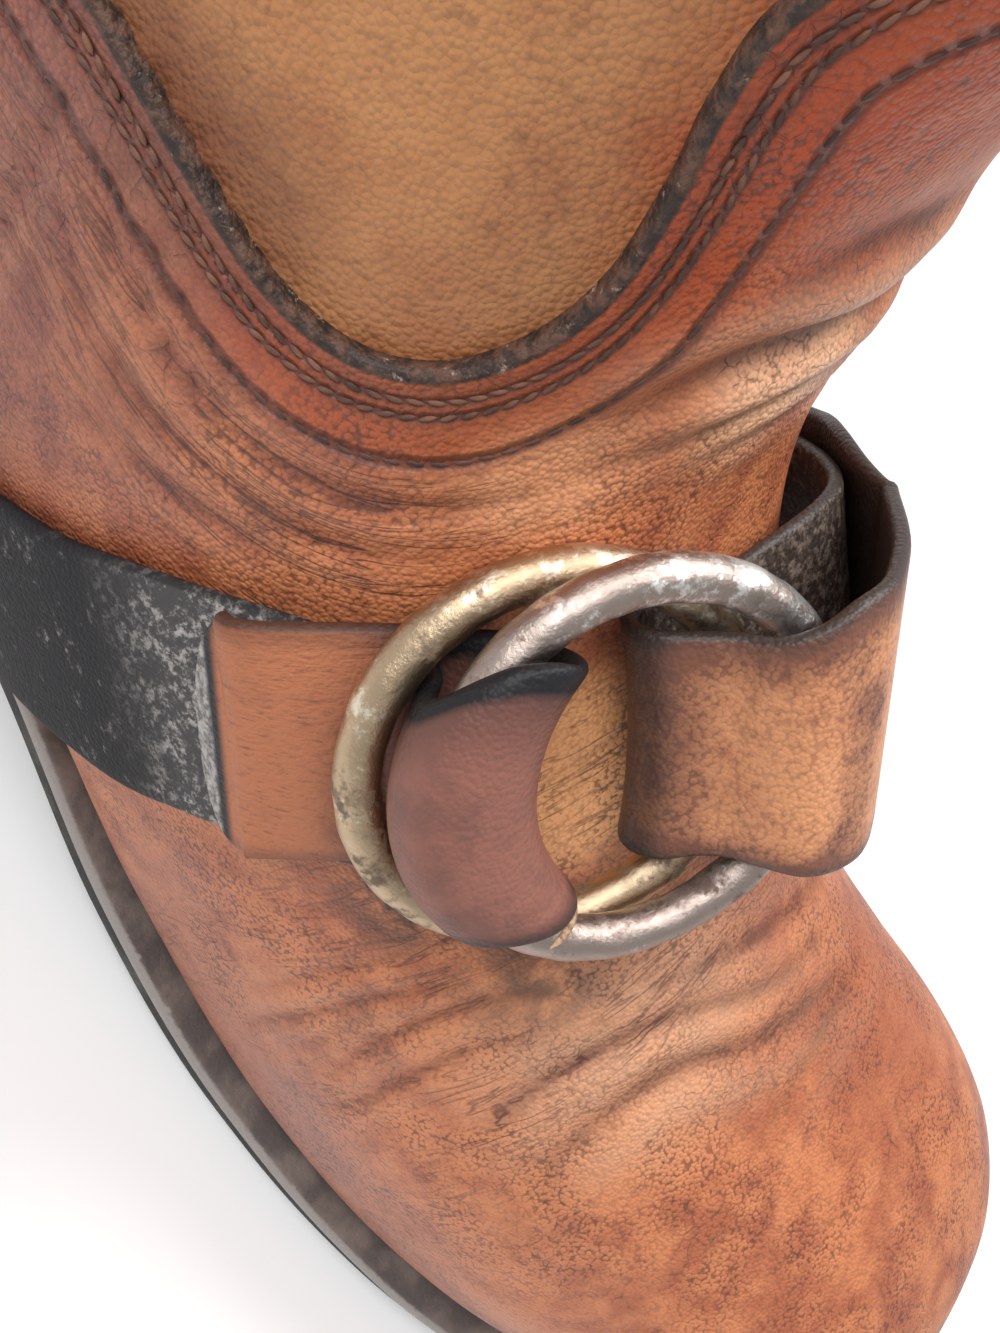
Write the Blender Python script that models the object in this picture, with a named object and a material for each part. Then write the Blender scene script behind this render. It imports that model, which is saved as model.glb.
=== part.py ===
"""Right engineer boot, size 43, with an instep strap fastened through two rings.

Lengths are millimetres until a mesh is made. x runs from the heel to the toe,
+y is the medial side, z is up from the floor. The origin lies on the floor
under the middle of the heel.
"""
import bmesh
import bpy
import numpy as np

MILLIMETRE = 0.001
GAP = 0.3

# sole
HEEL_RISE = 28.0
HEEL_BREAST_X = 42.0
BALL_X = 155.0
SPRING_X = 195.0
TOE_SPRING = 10.0
OUTSOLE_THICK = 6.4
WELT_THICK = 4.0
HEEL_LIFT_THICK = 7.0
HEEL_INSET = 1.5
OUTSOLE_INSET = 1.0
INSOLE_THICK = 3.0
WELT_REACH = 6.5
FEATHER_RISE = OUTSOLE_THICK + WELT_THICK + 4 * GAP
PLATE_STATIONS = 44
HEEL_STATION_POWER = 0.6
OUTLINE_POINTS = 800
SPLINE_STEPS = 60
END_SHARE = 0.03
SWING_DEG = 7.0
SWING_PIVOT_X = 70.0
SWING_FROM_X = 40.0
SWING_TO_X = 160.0

# upper
SHAFT_WALL = 1.8
VAMP_STEP = 1.2
TONGUE_HALF_WIDTH = 25.0
TONGUE_TOP_Z = 186.0
TONGUE_FRONT_X = 45.0
EDGE_ROUND = 10.0
STEP_SLOPE = 1.5
UPPER_COLUMNS = 32
LEAST_BULGE = 1.5
INSOLE_CLEAR = 2.5

# strap and rings
STRAP_THICK = 2.0
STRAP_ACROSS = 4
SAMPLES_PER_ROW = 2
RING_MEAN_RADIUS = 20.0
RING_WIRE_RADIUS = 2.4
RING_SEGMENTS = 30
WIRE_SEGMENTS = 10
BUCKLE_U = -0.177
STRAP_TILT = 0.12
STRAP_TILT_NEAR_U = 0.2
STRAP_TILT_FAR_U = 0.65
STRAP_CLEAR = 2.5 * GAP
STRAP_BEND_REACH = 16.0
FRAME_STEP = 0.01

# strip of the upper looked at under the strap: rows and columns to each side, their
# samples, and how far it reaches past the strap's edge and along it
REST_ROWS = 1.5
REST_ROW_SAMPLES = 61
REST_COLUMNS = 0.03
REST_COLUMN_SAMPLES = 5
REST_PAST_EDGE = 1.0
REST_ALONG = 2.0

# plan outline of the welt edge: distance from the heel centre, lateral y, medial y
HEEL_BACK = (-38.0, 0.0)
TOE_TIP = (270.0, 9.0)
OUTLINE = (
    # x, lateral, medial
    (-24, -26, 25),
    (4, -34, 33.5),
    (40, -34.5, 33.5),
    (80, -38, 33),
    (115, -45.5, 35.5),
    (150, -52, 42),
    (182, -53.5, 50),
    (212, -50, 53),
    (240, -39, 48),
    (259, -22, 35),
)

# one row per section of the upper, from the toe edge to the collar; the plane of
# a section runs from its top point to the featherline share or to its back point
SECTION_COLUMNS = ("top_x", "top_z", "ridge_y", "share", "back_x", "back_z",
                   "lateral", "medial", "level", "round")
SECTIONS = (
    ("toe edge", 263.3, 20.0, 9, 0.10, 0, 0, 27, 24, 0.55, 2.2),
    ("toe wall", 265.5, 40, 9, 0.13, 0, 0, 33, 29, 0.50, 2.2),
    ("toe crown", 257, 58, 9, 0.17, 0, 0, 38, 34, 0.45, 2.2),
    ("toe top", 236, 69, 9, 0.22, 0, 0, 44, 42, 0.40, 2.2),
    ("vamp front", 205, 75.5, 9, 0.29, 0, 0, 49, 46, 0.38, 2.2),
    ("ball", 173, 84, 7, 0.38, 0, 0, 49, 44, 0.38, 2.2),
    ("waist", 145, 96.5, 6, 0.48, 0, 0, 45, 41, 0.38, 2.2),
    ("instep", 121, 112, 6, 0.58, 0, 0, 41, 41, 0.40, 2.35),
    ("ankle bend", 103.5, 130, 10, 0.68, 0, 0, 40, 45.5, 0.42, 2.5),
    ("ankle", 95.5, 152, 11, 0.79, 0, 0, 40, 47, 0.45, 2.5),
    ("heel seat", 91.5, 176, 10, 0.90, 0, 0, 40, 47, 0.48, 2.45),
    ("heel corner", 89.5, 199, 8, 1.00, -31.5, 39.4, 40, 46, 0.50, 2.35),
    ("heel back", 88.5, 224, 4, 1.00, -37, 85, 41, 43.5, 0.50, 2.25),
    ("calf start", 89, 252, 1, 1.00, -34, 145, 44, 45, 0.50, 2.2),
    ("shaft", 91, 283, 0, 1.00, -36, 220, 48, 48, 0.50, 2.2),
    ("collar", 94, 318, 0, 1.00, -40, 318, 52, 52, 0.50, 2.2),
)
HEEL_ROW = 11
SECTION_ROWS = np.concatenate([np.linspace(0, 9, 20), [9.5, 10, 10.35, 10.65, 10.87],
                               np.linspace(HEEL_ROW, len(SECTIONS) - 1, 10)])

# top edge of the vamp and counter along the side: x, height
SIDE_EDGE = ((-38, 122), (20, 130), (55, 131.5), (75, 128.3), (90, 128))

# middle line of the strap over the upper: column u, section row v
STRAP_LINE = ((-1, 7.9), (-0.5, 7.67), (-0.3, 7.34), (-0.17, 7.09), (0.15, 6.7), (0.5, 7.1), (1, 7.5))
STRAP_LINE_DEGREE = 4

# rings: middle along the strap from the buckle point, height there, rise along the strap
RINGS = {"ring_brass": (-3.2, 6.5, 0.07), "ring_steel": (3.2, 11.9, 0.02)}

# lateral strap: up the side, under both rings, back over the steel one, tail under the brass one
LATERAL_RUN = (
    # column u, extra lift over resting on the upper, reach to the shaft side, to the toe side
    (-0.86, 0, 15.5, 17),
    (-0.8, 0, 15.5, 17),
    (-0.7, 0, 15.5, 17),
    (-0.6, 0, 15.5, 16.5),
    (-0.5, 0, 15.5, 15.5),
    (-0.45, 0, 15.5, 14.5),
    (-0.4, 0, 15.3, 13.8),
)
LATERAL_FOLD = (
    # along, height, reach to the shaft side, to the toe side, share of the ring's bend
    (-23.1, -3.4, 14.4, 13.2, 0),
    (-20, -1.8, 13.8, 12.8, 0),
    (-17, -0.3, 13.5, 12.5, 0),
    (-14.2, 0.9, 13.6, 12.5, 0),
    (-11.4, 3.6, 14, 12.5, 0.5),
    (-9.5, 7.2, 13.6, 12.4, 0.9),
    (-8.8, 10.8, 13.8, 12.4, 1),
    (-9.9, 14, 14.4, 12.8, 1),
    (-12.9, 15.7, 15.6, 13.2, 1),
    (-16.8, 15.9, 16.6, 13, 1),
    (-20, 14.6, 16, 12.5, 1),
    (-21.1, 11.5, 13, 12, 1),
    (-20.2, 8.5, 12, 11.5, 1),
    (-18.3, 5.2, 11.8, 11.5, 1),
    (-19.2, 1.9, 13, 11.5, 1),
    (-23.1, 0.2, 15, 12, 0.95),
)
LATERAL_TAIL = (
    (-0.372, 3.4, 15.5, 13),
    (-0.386, 3.1, 15.2, 13),
    (-0.397, 2.9, 13, 12),
    (-0.405, 2.8, 9, 9.2),
    (-0.41, 2.8, 5, 5.5),
)

# medial loop: inner layer up the side, a fold inside the rings, outer layer back over both
LOOP_INNER = (
    (0.83, 0.2, 13, 13),
    (0.78, 0.1, 13, 13),
    (0.7, 0, 13, 13),
    (0.6, 0, 13, 13),
    (0.5, 0.2, 13, 13),
    (0.4, 0.5, 13, 13),
    (0.3, 1.2, 13, 13),
    (0.2, 2.4, 13, 13),
    (0.1, 3.6, 13, 13),
    (0.03, 3.4, 13, 13),
)
LOOP_FOLD = (
    (22.5, -0.9, 13.5, 13.5, 0),
    (19.5, 0.2, 13.3, 13.3, 0),
    (16.5, 0.9, 13.3, 13.3, 0),
    (13, 1.7, 13.3, 13.3, 0),
    (9.5, 2.3, 13.3, 13.3, 0),
    (7, 4.0, 13.3, 13.3, 0.2),
    (6.2, 6.8, 13.3, 13.3, 0.3),
    (7.3, 9.7, 13.3, 13.3, 0.2),
    (10.3, 11.4, 13, 13, 0),
    (13, 13.0, 13, 13, 0),
    (15.4, 15.7, 13.2, 13.2, 0),
    (19, 17.4, 14.6, 14.4, 0),
    (23.2, 16.8, 16, 15.6, 0),
    (27.4, 15.2, 16.4, 16, 0),
    (31.2, 11.8, 16.5, 16, 0),
    (35.6, 6.7, 16.6, 16, 0),
    (39.9, 0.2, 16.7, 16.2, 0),
    (43.9, -7, 17, 16.4, 0),
)
LOOP_OUTER = (
    (0.15, 4.3, 15.9, 16.4),
    (0.2, 4.5, 15.8, 16),
    (0.3, 4.5, 15.4, 15.2),
    (0.4, 4, 15, 14.5),
    (0.5, 3.3, 14.5, 14),
    (0.6, 2.9, 14, 13.5),
    (0.7, 2.8, 13.5, 13.5),
    (0.78, 2.9, 13.5, 13.5),
    (0.83, 3.0, 13.5, 13.5),
)


FINISHES = {
    # node: red, green, blue, roughness, metallic
    "heel_lift": (0.02, 0.02, 0.02, 0.75, 0.0),
    "heel": (0.05, 0.035, 0.028, 0.6, 0.0),
    "outsole": (0.03, 0.027, 0.025, 0.7, 0.0),
    "welt": (0.05, 0.035, 0.03, 0.6, 0.0),
    "insole": (0.45, 0.3, 0.18, 0.8, 0.0),
    "upper": (0.42, 0.17, 0.075, 0.5, 0.0),
    "strap_lateral": (0.06, 0.04, 0.035, 0.55, 0.0),
    "strap_loop": (0.45, 0.16, 0.05, 0.45, 0.0),
    "ring_brass": (0.42, 0.36, 0.25, 0.35, 1.0),
    "ring_steel": (0.6, 0.58, 0.56, 0.3, 1.0),
}


def smooth(start, stop, x):
    """Rise from 0 to 1 between start and stop with level ends."""
    t = np.clip((np.asarray(x, float) - start) / (stop - start), 0, 1)
    return t * t * (3 - 2 * t)


def spline(points, count, closed=False):
    """Catmull-Rom curve through the points, sampled at even steps of length."""
    p = np.asarray(points, float)
    n = len(p)
    if not closed:
        p = np.vstack([2 * p[0] - p[1], p, 2 * p[-1] - p[-2]])
    last = n if closed else n - 1
    t = np.linspace(0, last, SPLINE_STEPS * last, endpoint=not closed)
    i = np.minimum(np.floor(t).astype(int), last - 1)
    f = (t - i)[:, None]
    shift = -1 if closed else 0
    a, b, c, d = (p[(i + k + shift) % len(p)] for k in range(4))
    q = 0.5 * (2 * b + (c - a) * f + (2 * a - 5 * b + 4 * c - d) * f ** 2
               + (3 * b - a - 3 * c + d) * f ** 3)
    if closed:
        q = np.vstack([q, q[:1]])
    length = np.concatenate([[0], np.cumsum(np.linalg.norm(np.diff(q, axis=0), axis=1))])
    s = np.linspace(0, length[-1], count, endpoint=not closed)
    return np.stack([np.interp(s, length, q[:, k]) for k in range(q.shape[1])], 1)


def sole_under(x):
    """Height of the outsole's underside: heel rise, level ball, toe spring."""
    x = np.asarray(x, float)
    heel = HEEL_RISE * (1 - smooth(HEEL_BREAST_X, BALL_X, x))
    spring = np.clip((x - SPRING_X) / (TOE_TIP[0] - SPRING_X), 0, 1) ** 2
    return heel + TOE_SPRING * spring


def swing(points):
    """Turn the forefoot towards the medial side, the inward curve of a right last."""
    q = np.array(points, float)
    angle = np.radians(SWING_DEG) * smooth(SWING_FROM_X, SWING_TO_X, q[..., 0])
    x = q[..., 0] - SWING_PIVOT_X
    y = q[..., 1].copy()
    q[..., 0] = SWING_PIVOT_X + x * np.cos(angle) - y * np.sin(angle)
    q[..., 1] = x * np.sin(angle) + y * np.cos(angle)
    return q


def outline_halves(inset):
    """Lateral and medial halves of the plan outline moved inwards, toe tip first."""
    lateral = [(x, y) for x, y, other in OUTLINE]
    medial = [(x, y) for x, other, y in OUTLINE]
    loop = spline([HEEL_BACK] + lateral + [TOE_TIP] + medial[::-1], OUTLINE_POINTS, closed=True)
    along = np.roll(loop, -1, 0) - np.roll(loop, 1, 0)
    inward = np.stack([-along[:, 1], along[:, 0]], 1)
    loop = loop + inset * inward / np.linalg.norm(inward, axis=1)[:, None]
    heel = int(np.argmin(loop[:, 0]))
    loop = np.roll(loop, -heel, 0)
    toe = int(np.argmax(loop[:, 0]))
    return loop[:toe + 1][::-1], np.vstack([loop[toe:], loop[:1]])


def along_half(half, share):
    """Points of one outline half at shares of its length from the toe tip."""
    steps = np.linalg.norm(np.diff(half, axis=0), axis=1)
    length = np.concatenate([[0], np.cumsum(steps)]) / steps.sum()
    return np.stack([np.interp(share, length, half[:, k]) for k in range(2)], -1)


def feather(side, share):
    """Featherline points, where the upper meets the welt, at shares from the toe."""
    half = outline_halves(WELT_REACH)[0 if side < 0 else 1]
    xy = along_half(half, share)
    z = sole_under(xy[..., 0]) + FEATHER_RISE
    return np.concatenate([xy, z[..., None]], -1)


def section_table():
    """Section values with the back points of the foot rows set on the featherline."""
    table = np.array([row[1:] for row in SECTIONS], float)
    share = table[:, SECTION_COLUMNS.index("share")]
    middle = (feather(-1, share) + feather(1, share)) / 2
    table[:HEEL_ROW, SECTION_COLUMNS.index("back_x")] = middle[:HEEL_ROW, 0]
    table[:HEEL_ROW, SECTION_COLUMNS.index("back_z")] = middle[:HEEL_ROW, 2]
    return table


def section_values(v):
    """Section columns at the rows v by Catmull-Rom between the table's rows."""
    table = section_table()
    p = np.vstack([2 * table[0] - table[1], table, 2 * table[-1] - table[-2]])
    i = np.clip(np.floor(v).astype(int), 0, len(table) - 2)
    f = (v - i)[..., None]
    a, b, c, d = (p[i + k] for k in range(4))
    q = 0.5 * (2 * b + (c - a) * f + (2 * a - 5 * b + 4 * c - d) * f ** 2
               + (3 * b - a - 3 * c + d) * f ** 3)
    return {name: q[..., k] for k, name in enumerate(SECTION_COLUMNS)}


def upper_at(v, u):
    """Outer face of the vamp at section row v and column u.

    u runs from -1 at the lateral featherline over 0 at the ridge to +1 at the
    medial one. Each quarter is part of a superellipse from the ridge to the
    side point and from there to the featherline or the middle of the back.
    """
    v, u = np.broadcast_arrays(np.asarray(v, float), np.asarray(u, float))
    row = section_values(v)
    share = np.clip(row["share"], 0, 1)
    lateral, medial = feather(-1, share), feather(1, share)
    back = np.stack([row["back_x"], 0 * v, row["back_z"]], -1)
    loop = (v > HEEL_ROW)[..., None]
    middle = np.where(loop, back, (lateral + medial) / 2)
    foot = np.where(loop, back, np.where((u < 0)[..., None], lateral, medial))
    centre_y = np.where(v > HEEL_ROW, 0, 0.5 * middle[..., 1])
    side_y = centre_y + np.where(u < 0, -row["lateral"], row["medial"])
    outward = np.where(u < 0, -1.0, 1.0)
    bulge = np.maximum(outward * (side_y - foot[..., 1]), LEAST_BULGE)
    side_y = np.where(v > HEEL_ROW, side_y, foot[..., 1] + outward * bulge)
    power = 2 / row["round"]
    turn = np.pi * np.abs(u)
    high = np.abs(u) <= 0.5
    angle = np.where(high, turn, turn - np.pi / 2)
    cosine = np.clip(np.cos(angle), 0, 1) ** power
    sine = np.clip(np.sin(angle), 0, 1) ** power
    y = np.where(high, row["ridge_y"] + (side_y - row["ridge_y"]) * sine,
                 foot[..., 1] + (side_y - foot[..., 1]) * cosine)
    level = row["level"]
    rise = np.where(high, level + (1 - level) * cosine, level * (1 - sine))
    start = np.where(high[..., None], middle + (foot - middle) * sine[..., None], foot)
    x = start[..., 0] + (row["top_x"] - start[..., 0]) * rise
    z = start[..., 2] + (row["top_z"] - start[..., 2]) * rise
    p = np.stack([x, y, z], -1)
    rim = np.where((u < 0)[..., None], feather(-1, share * np.abs(u)), feather(1, share * np.abs(u)))
    keep = smooth(0, 1, v)[..., None]
    return swing(rim + (p - rim) * keep)


def grid_normals(grid):
    """Outward unit normals of a grid whose rows run toe to collar."""
    n = np.cross(np.gradient(grid, axis=1), np.gradient(grid, axis=0))
    return n / np.linalg.norm(n, axis=-1, keepdims=True)


def surface_frame(v, u):
    """Point and outward normal of the upper at one row and column or at arrays of them."""
    dv = upper_at(v + FRAME_STEP, u) - upper_at(v - FRAME_STEP, u)
    du = upper_at(v, u + FRAME_STEP) - upper_at(v, u - FRAME_STEP)
    n = np.cross(du, dv)
    return upper_at(v, u), n / np.linalg.norm(n, axis=-1, keepdims=True)


def vamp_share(points):
    """1 on the vamp and counter, 0 on the shaft, with a rounded corner at each side."""
    x, y, z = np.moveaxis(points, -1, 0)
    side = np.array(SIDE_EDGE, float)
    below = np.interp(x, side[:, 0], side[:, 1]) - z
    tongue = np.minimum(TONGUE_HALF_WIDTH - np.abs(y), TONGUE_TOP_Z - z)
    tongue = np.where(x > TONGUE_FRONT_X, tongue, -EDGE_ROUND)
    a = np.maximum(tongue + EDGE_ROUND, 0)
    b = np.maximum(below + EDGE_ROUND, 0)
    inside = np.minimum(np.maximum(tongue, below) + EDGE_ROUND, 0)
    distance = np.hypot(a, b) - EDGE_ROUND + inside
    return smooth(-STEP_SLOPE, STEP_SLOPE, distance)


def add_piece(name, verts, faces):
    """Mesh object from millimetre points, faces turned outwards, with its own plain material."""
    mesh = bpy.data.meshes.new(name)
    points = np.asarray(verts) * MILLIMETRE
    mesh.from_pydata(points.tolist(), [], [[int(k) for k in face] for face in faces])
    edit = bmesh.new()
    edit.from_mesh(mesh)
    bmesh.ops.recalc_face_normals(edit, faces=edit.faces)
    edit.to_mesh(mesh)
    edit.free()
    *colour, roughness, metallic = FINISHES[name]
    material = bpy.data.materials.new(name)
    material.use_nodes = True
    shader = material.node_tree.nodes["Principled BSDF"]
    shader.inputs["Base Color"].default_value = (*colour, 1.0)
    shader.inputs["Roughness"].default_value = roughness
    shader.inputs["Metallic"].default_value = metallic
    mesh.materials.append(material)
    piece = bpy.data.objects.new(name, mesh)
    piece.parent = boot
    bpy.context.scene.collection.objects.link(piece)


def plate(inset, bottom, thick, front_x=None):
    """Layer of the sole: cross strips between the outline halves, closed all round.

    With front_x the layer starts there instead of at the toe tip.
    """
    spread = 0.5 - 0.5 * np.cos(np.pi * np.linspace(END_SHARE, 1 - END_SHARE, PLATE_STATIONS))
    rows = []
    for half in outline_halves(inset):
        share = spread
        if front_x is not None:
            dense = np.linspace(0, 1, OUTLINE_POINTS)
            first = np.interp(-front_x, -along_half(half, dense)[:, 0], dense)
            even = np.linspace(0, 1, PLATE_STATIONS)
            share = first + (spread[-1] - first) * even ** HEEL_STATION_POWER
        xy = along_half(half, share)
        z = bottom(xy[:, 0])
        rows.append(swing(np.column_stack([xy, z])))
        rows.append(swing(np.column_stack([xy, z + thick])))
    count = PLATE_STATIONS
    low_l, top_l, low_m, top_m = (np.arange(count) + k * count for k in range(4))
    faces = []
    for i in range(count - 1):
        j = i + 1
        faces.append((top_l[i], top_m[i], top_m[j], top_l[j]))
        faces.append((low_l[i], low_l[j], low_m[j], low_m[i]))
        faces.append((low_l[i], top_l[i], top_l[j], low_l[j]))
        faces.append((low_m[i], low_m[j], top_m[j], top_m[i]))
    for i in (0, count - 1):
        faces.append((low_l[i], low_m[i], top_m[i], top_l[i]))
    return np.concatenate(rows), faces


def upper_solid():
    """Hollow upper: outer face with the step up to the vamp, lining face, closed at both rims."""
    columns = np.linspace(-1, 1, UPPER_COLUMNS + 1)
    v, u = np.meshgrid(SECTION_ROWS, columns, indexing="ij")
    face = upper_at(v, u)
    normal = grid_normals(face)
    loop = SECTION_ROWS >= HEEL_ROW
    seam = normal[loop, 0] + normal[loop, -1]
    seam /= np.linalg.norm(seam, axis=-1, keepdims=True)
    normal[loop, 0] = seam
    normal[loop, -1] = seam
    rim = (v == 0) | ((np.abs(u) == 1) & (v < HEEL_ROW))
    flat = normal * np.array([1, 1, 0])
    flat /= np.linalg.norm(flat, axis=-1, keepdims=True)
    normal = np.where(rim[..., None], flat, normal)
    top = (v == SECTION_ROWS[-1])[..., None]
    normal = np.where(top, flat, normal)
    outer = face - normal * (VAMP_STEP * (1 - vamp_share(face)))[..., None]
    inner = face - normal * (VAMP_STEP + SHAFT_WALL)
    rows, cols = v.shape
    index = np.arange(2 * rows * cols).reshape(2, rows, cols)
    index[:, loop, -1] = index[:, loop, 0]
    faces = []
    for i in range(rows - 1):
        for j in range(cols - 1):
            quad = (0, i, j), (0, i + 1, j), (0, i + 1, j + 1), (0, i, j + 1)
            faces.append([index[q] for q in quad][::-1])
            faces.append([index[1, r, c] for layer, r, c in quad])
    for j in range(cols - 1):
        faces.append((index[0, 0, j], index[1, 0, j], index[1, 0, j + 1], index[0, 0, j + 1])[::-1])
        last = rows - 1
        faces.append((index[0, last, j], index[1, last, j], index[1, last, j + 1], index[0, last, j + 1]))
    for i in range(int(np.sum(~loop))):
        j = cols - 1
        faces.append((index[0, i, 0], index[1, i, 0], index[1, i + 1, 0], index[0, i + 1, 0]))
        faces.append((index[0, i, j], index[1, i, j], index[1, i + 1, j], index[0, i + 1, j])[::-1])
    verts = np.concatenate([outer.reshape(-1, 3), inner.reshape(-1, 3)])
    faces = [tuple(dict.fromkeys(f)) for f in faces]
    faces = [f for f in faces if len(f) > 2]
    used = np.unique(np.concatenate([np.array(f) for f in faces]))
    renumber = np.full(len(verts), -1)
    renumber[used] = np.arange(len(used))
    return verts[used], [renumber[list(f)] for f in faces]


def strap_row(u):
    """Section row of the strap's middle line at column u, a polynomial through the table."""
    line = np.array(STRAP_LINE, float)
    return np.polyval(np.polyfit(line[:, 0], line[:, 1], STRAP_LINE_DEGREE), u)


def strap_frame(u):
    """Point, direction to the medial side, width direction and normal on the strap's line.

    Near the buckle the strap leans on its shaft-side edge, so the width direction
    is tilted off the upper towards the toe.
    """
    p, n = surface_frame(strap_row(u), u)
    ahead, behind = u + FRAME_STEP, u - FRAME_STEP
    t = upper_at(strap_row(ahead), ahead) - upper_at(strap_row(behind), behind)
    t -= n * np.dot(t, n)
    t /= np.linalg.norm(t)
    tilt = STRAP_TILT * (1 - smooth(STRAP_TILT_NEAR_U, STRAP_TILT_FAR_U, abs(u - BUCKLE_U)))
    wide = np.cross(t, n) + tilt * n
    wide /= np.linalg.norm(wide)
    return p, t, wide, np.cross(wide, t)


def resting_height(u, shaft, toe):
    """Height over the strap line at which a flat strap of these reaches clears the upper."""
    p, t, wide, up = strap_frame(u)
    v = strap_row(u) + np.linspace(-REST_ROWS, REST_ROWS, REST_ROW_SAMPLES)
    highest = 0.0
    for column in u + np.linspace(-REST_COLUMNS, REST_COLUMNS, REST_COLUMN_SAMPLES):
        q = upper_at(v, column) - p
        across = q @ wide
        under = (across > -shaft - REST_PAST_EDGE) & (across < toe + REST_PAST_EDGE)
        under &= np.abs(q @ t) < REST_ALONG
        highest = max(highest, float((q[under] @ up).max(initial=0)))
    return highest + STRAP_CLEAR + STRAP_THICK / 2


def run_rows(table):
    """Strap stations on the upper: point, width direction, reach to both sides, no bend."""
    rows = []
    for u, extra, shaft, toe in table:
        p, t, wide, up = strap_frame(u)
        lift = resting_height(u, shaft, toe) + extra
        rows.append(np.concatenate([p + lift * up, wide, [shaft, toe, 0]]))
    return rows


def fold_rows(table):
    """Strap stations in the plane that touches the upper under the buckle."""
    p, t, wide, up = strap_frame(BUCKLE_U)
    rows = []
    for along, height, shaft, toe, bend in table:
        rows.append(np.concatenate([p + along * t + height * up, wide, [shaft, toe, bend]]))
    return rows


def through_rows(rows):
    """Catmull-Rom through every row with the same number of samples between rows."""
    p = np.array(rows)
    p = np.vstack([2 * p[0] - p[1], p, 2 * p[-1] - p[-2]])
    t = np.linspace(0, len(rows) - 1, SAMPLES_PER_ROW * (len(rows) - 1) + 1)
    i = np.minimum(t.astype(int), len(rows) - 2)
    f = (t - i)[:, None]
    a, b, c, d = (p[i + k] for k in range(4))
    return 0.5 * (2 * b + (c - a) * f + (2 * a - 5 * b + 4 * c - d) * f ** 2
                  + (3 * b - a - 3 * c + d) * f ** 3)


def strap(rows, side):
    """Strip with a rectangular cut along the rows, bent across by the rings' arc.

    side is +1 where the rings' left arcs bend the strap and -1 at their right arcs.
    """
    rows = through_rows(rows)
    centre = rows[:, :3]
    along = np.gradient(centre, axis=0)
    along /= np.linalg.norm(along, axis=1)[:, None]
    wide = rows[:, 3:6] - along * np.sum(rows[:, 3:6] * along, 1)[:, None]
    wide /= np.linalg.norm(wide, axis=1)[:, None]
    up = np.cross(wide, along)
    across = np.linspace(0, 1, STRAP_ACROSS + 1)
    reach = (rows[:, 6] + rows[:, 7])[:, None] * across - rows[:, 6, None]
    chord = np.clip(np.abs(reach), 0, STRAP_BEND_REACH)
    arc = RING_MEAN_RADIUS - np.sqrt(RING_MEAN_RADIUS ** 2 - chord ** 2)
    buckle_along = strap_frame(BUCKLE_U)[1]
    middle = centre[:, None] + reach[..., None] * wide[:, None]
    middle = middle + (side * arc * rows[:, 8, None])[..., None] * buckle_along
    low = middle - STRAP_THICK / 2 * up[:, None]
    high = middle + STRAP_THICK / 2 * up[:, None]
    cut = np.concatenate([low, high[:, ::-1]], 1)
    count, corners = cut.shape[:2]
    index = np.arange(count * corners).reshape(count, corners)
    faces = []
    for i in range(count - 1):
        for k in range(corners):
            m = (k + 1) % corners
            faces.append((index[i, k], index[i, m], index[i + 1, m], index[i + 1, k]))
    for i in (0, count - 1):
        for k in range(STRAP_ACROSS):
            m = corners - 1 - k
            faces.append((index[i, k], index[i, k + 1], index[i, m - 1], index[i, m]))
    return cut.reshape(-1, 3), faces


def ring(along, height, rise):
    """Ring of round wire over the buckle plane, tilted along the strap by rise."""
    p, t, wide, up = strap_frame(BUCKLE_U)
    centre = p + along * t + height * up
    t = t + rise * up
    t /= np.linalg.norm(t)
    axis = np.cross(wide, t)
    a = np.linspace(0, 2 * np.pi, RING_SEGMENTS, endpoint=False)
    b = np.linspace(0, 2 * np.pi, WIRE_SEGMENTS, endpoint=False)
    radial = np.cos(a)[:, None] * t + np.sin(a)[:, None] * wide
    reach = RING_MEAN_RADIUS + RING_WIRE_RADIUS * np.cos(b)
    verts = centre + radial[:, None] * reach[:, None]
    verts = verts + (RING_WIRE_RADIUS * np.sin(b))[:, None] * axis
    index = np.arange(RING_SEGMENTS * WIRE_SEGMENTS).reshape(RING_SEGMENTS, WIRE_SEGMENTS)
    faces = []
    for i in range(RING_SEGMENTS):
        for j in range(WIRE_SEGMENTS):
            i2 = (i + 1) % RING_SEGMENTS
            j2 = (j + 1) % WIRE_SEGMENTS
            faces.append((index[i, j], index[i2, j], index[i2, j2], index[i, j2]))
    return verts.reshape(-1, 3), faces


for old in list(bpy.data.objects):
    bpy.data.objects.remove(old)

boot = bpy.data.objects.new("engineer_boot", None)
bpy.context.scene.collection.objects.link(boot)

heel_thick = HEEL_RISE - 2 * GAP - HEEL_LIFT_THICK

add_piece("heel_lift", *plate(HEEL_INSET, lambda x: 0 * x, HEEL_LIFT_THICK, HEEL_BREAST_X))
add_piece("heel", *plate(HEEL_INSET, lambda x: 0 * x + HEEL_LIFT_THICK + GAP, heel_thick, HEEL_BREAST_X))
add_piece("outsole", *plate(OUTSOLE_INSET, sole_under, OUTSOLE_THICK))
add_piece("welt", *plate(0.0, lambda x: sole_under(x) + OUTSOLE_THICK + GAP, WELT_THICK))
insole_inset = WELT_REACH + VAMP_STEP + SHAFT_WALL + INSOLE_CLEAR
add_piece("insole", *plate(insole_inset, lambda x: sole_under(x) + FEATHER_RISE, INSOLE_THICK))
add_piece("upper", *upper_solid())
lateral_rows = run_rows(LATERAL_RUN) + fold_rows(LATERAL_FOLD) + run_rows(LATERAL_TAIL)
add_piece("strap_lateral", *strap(lateral_rows, 1))
loop_rows = run_rows(LOOP_INNER) + fold_rows(LOOP_FOLD) + run_rows(LOOP_OUTER)
add_piece("strap_loop", *strap(loop_rows, -1))
for name in RINGS:
    add_piece(name, *ring(*RINGS[name]))
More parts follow.
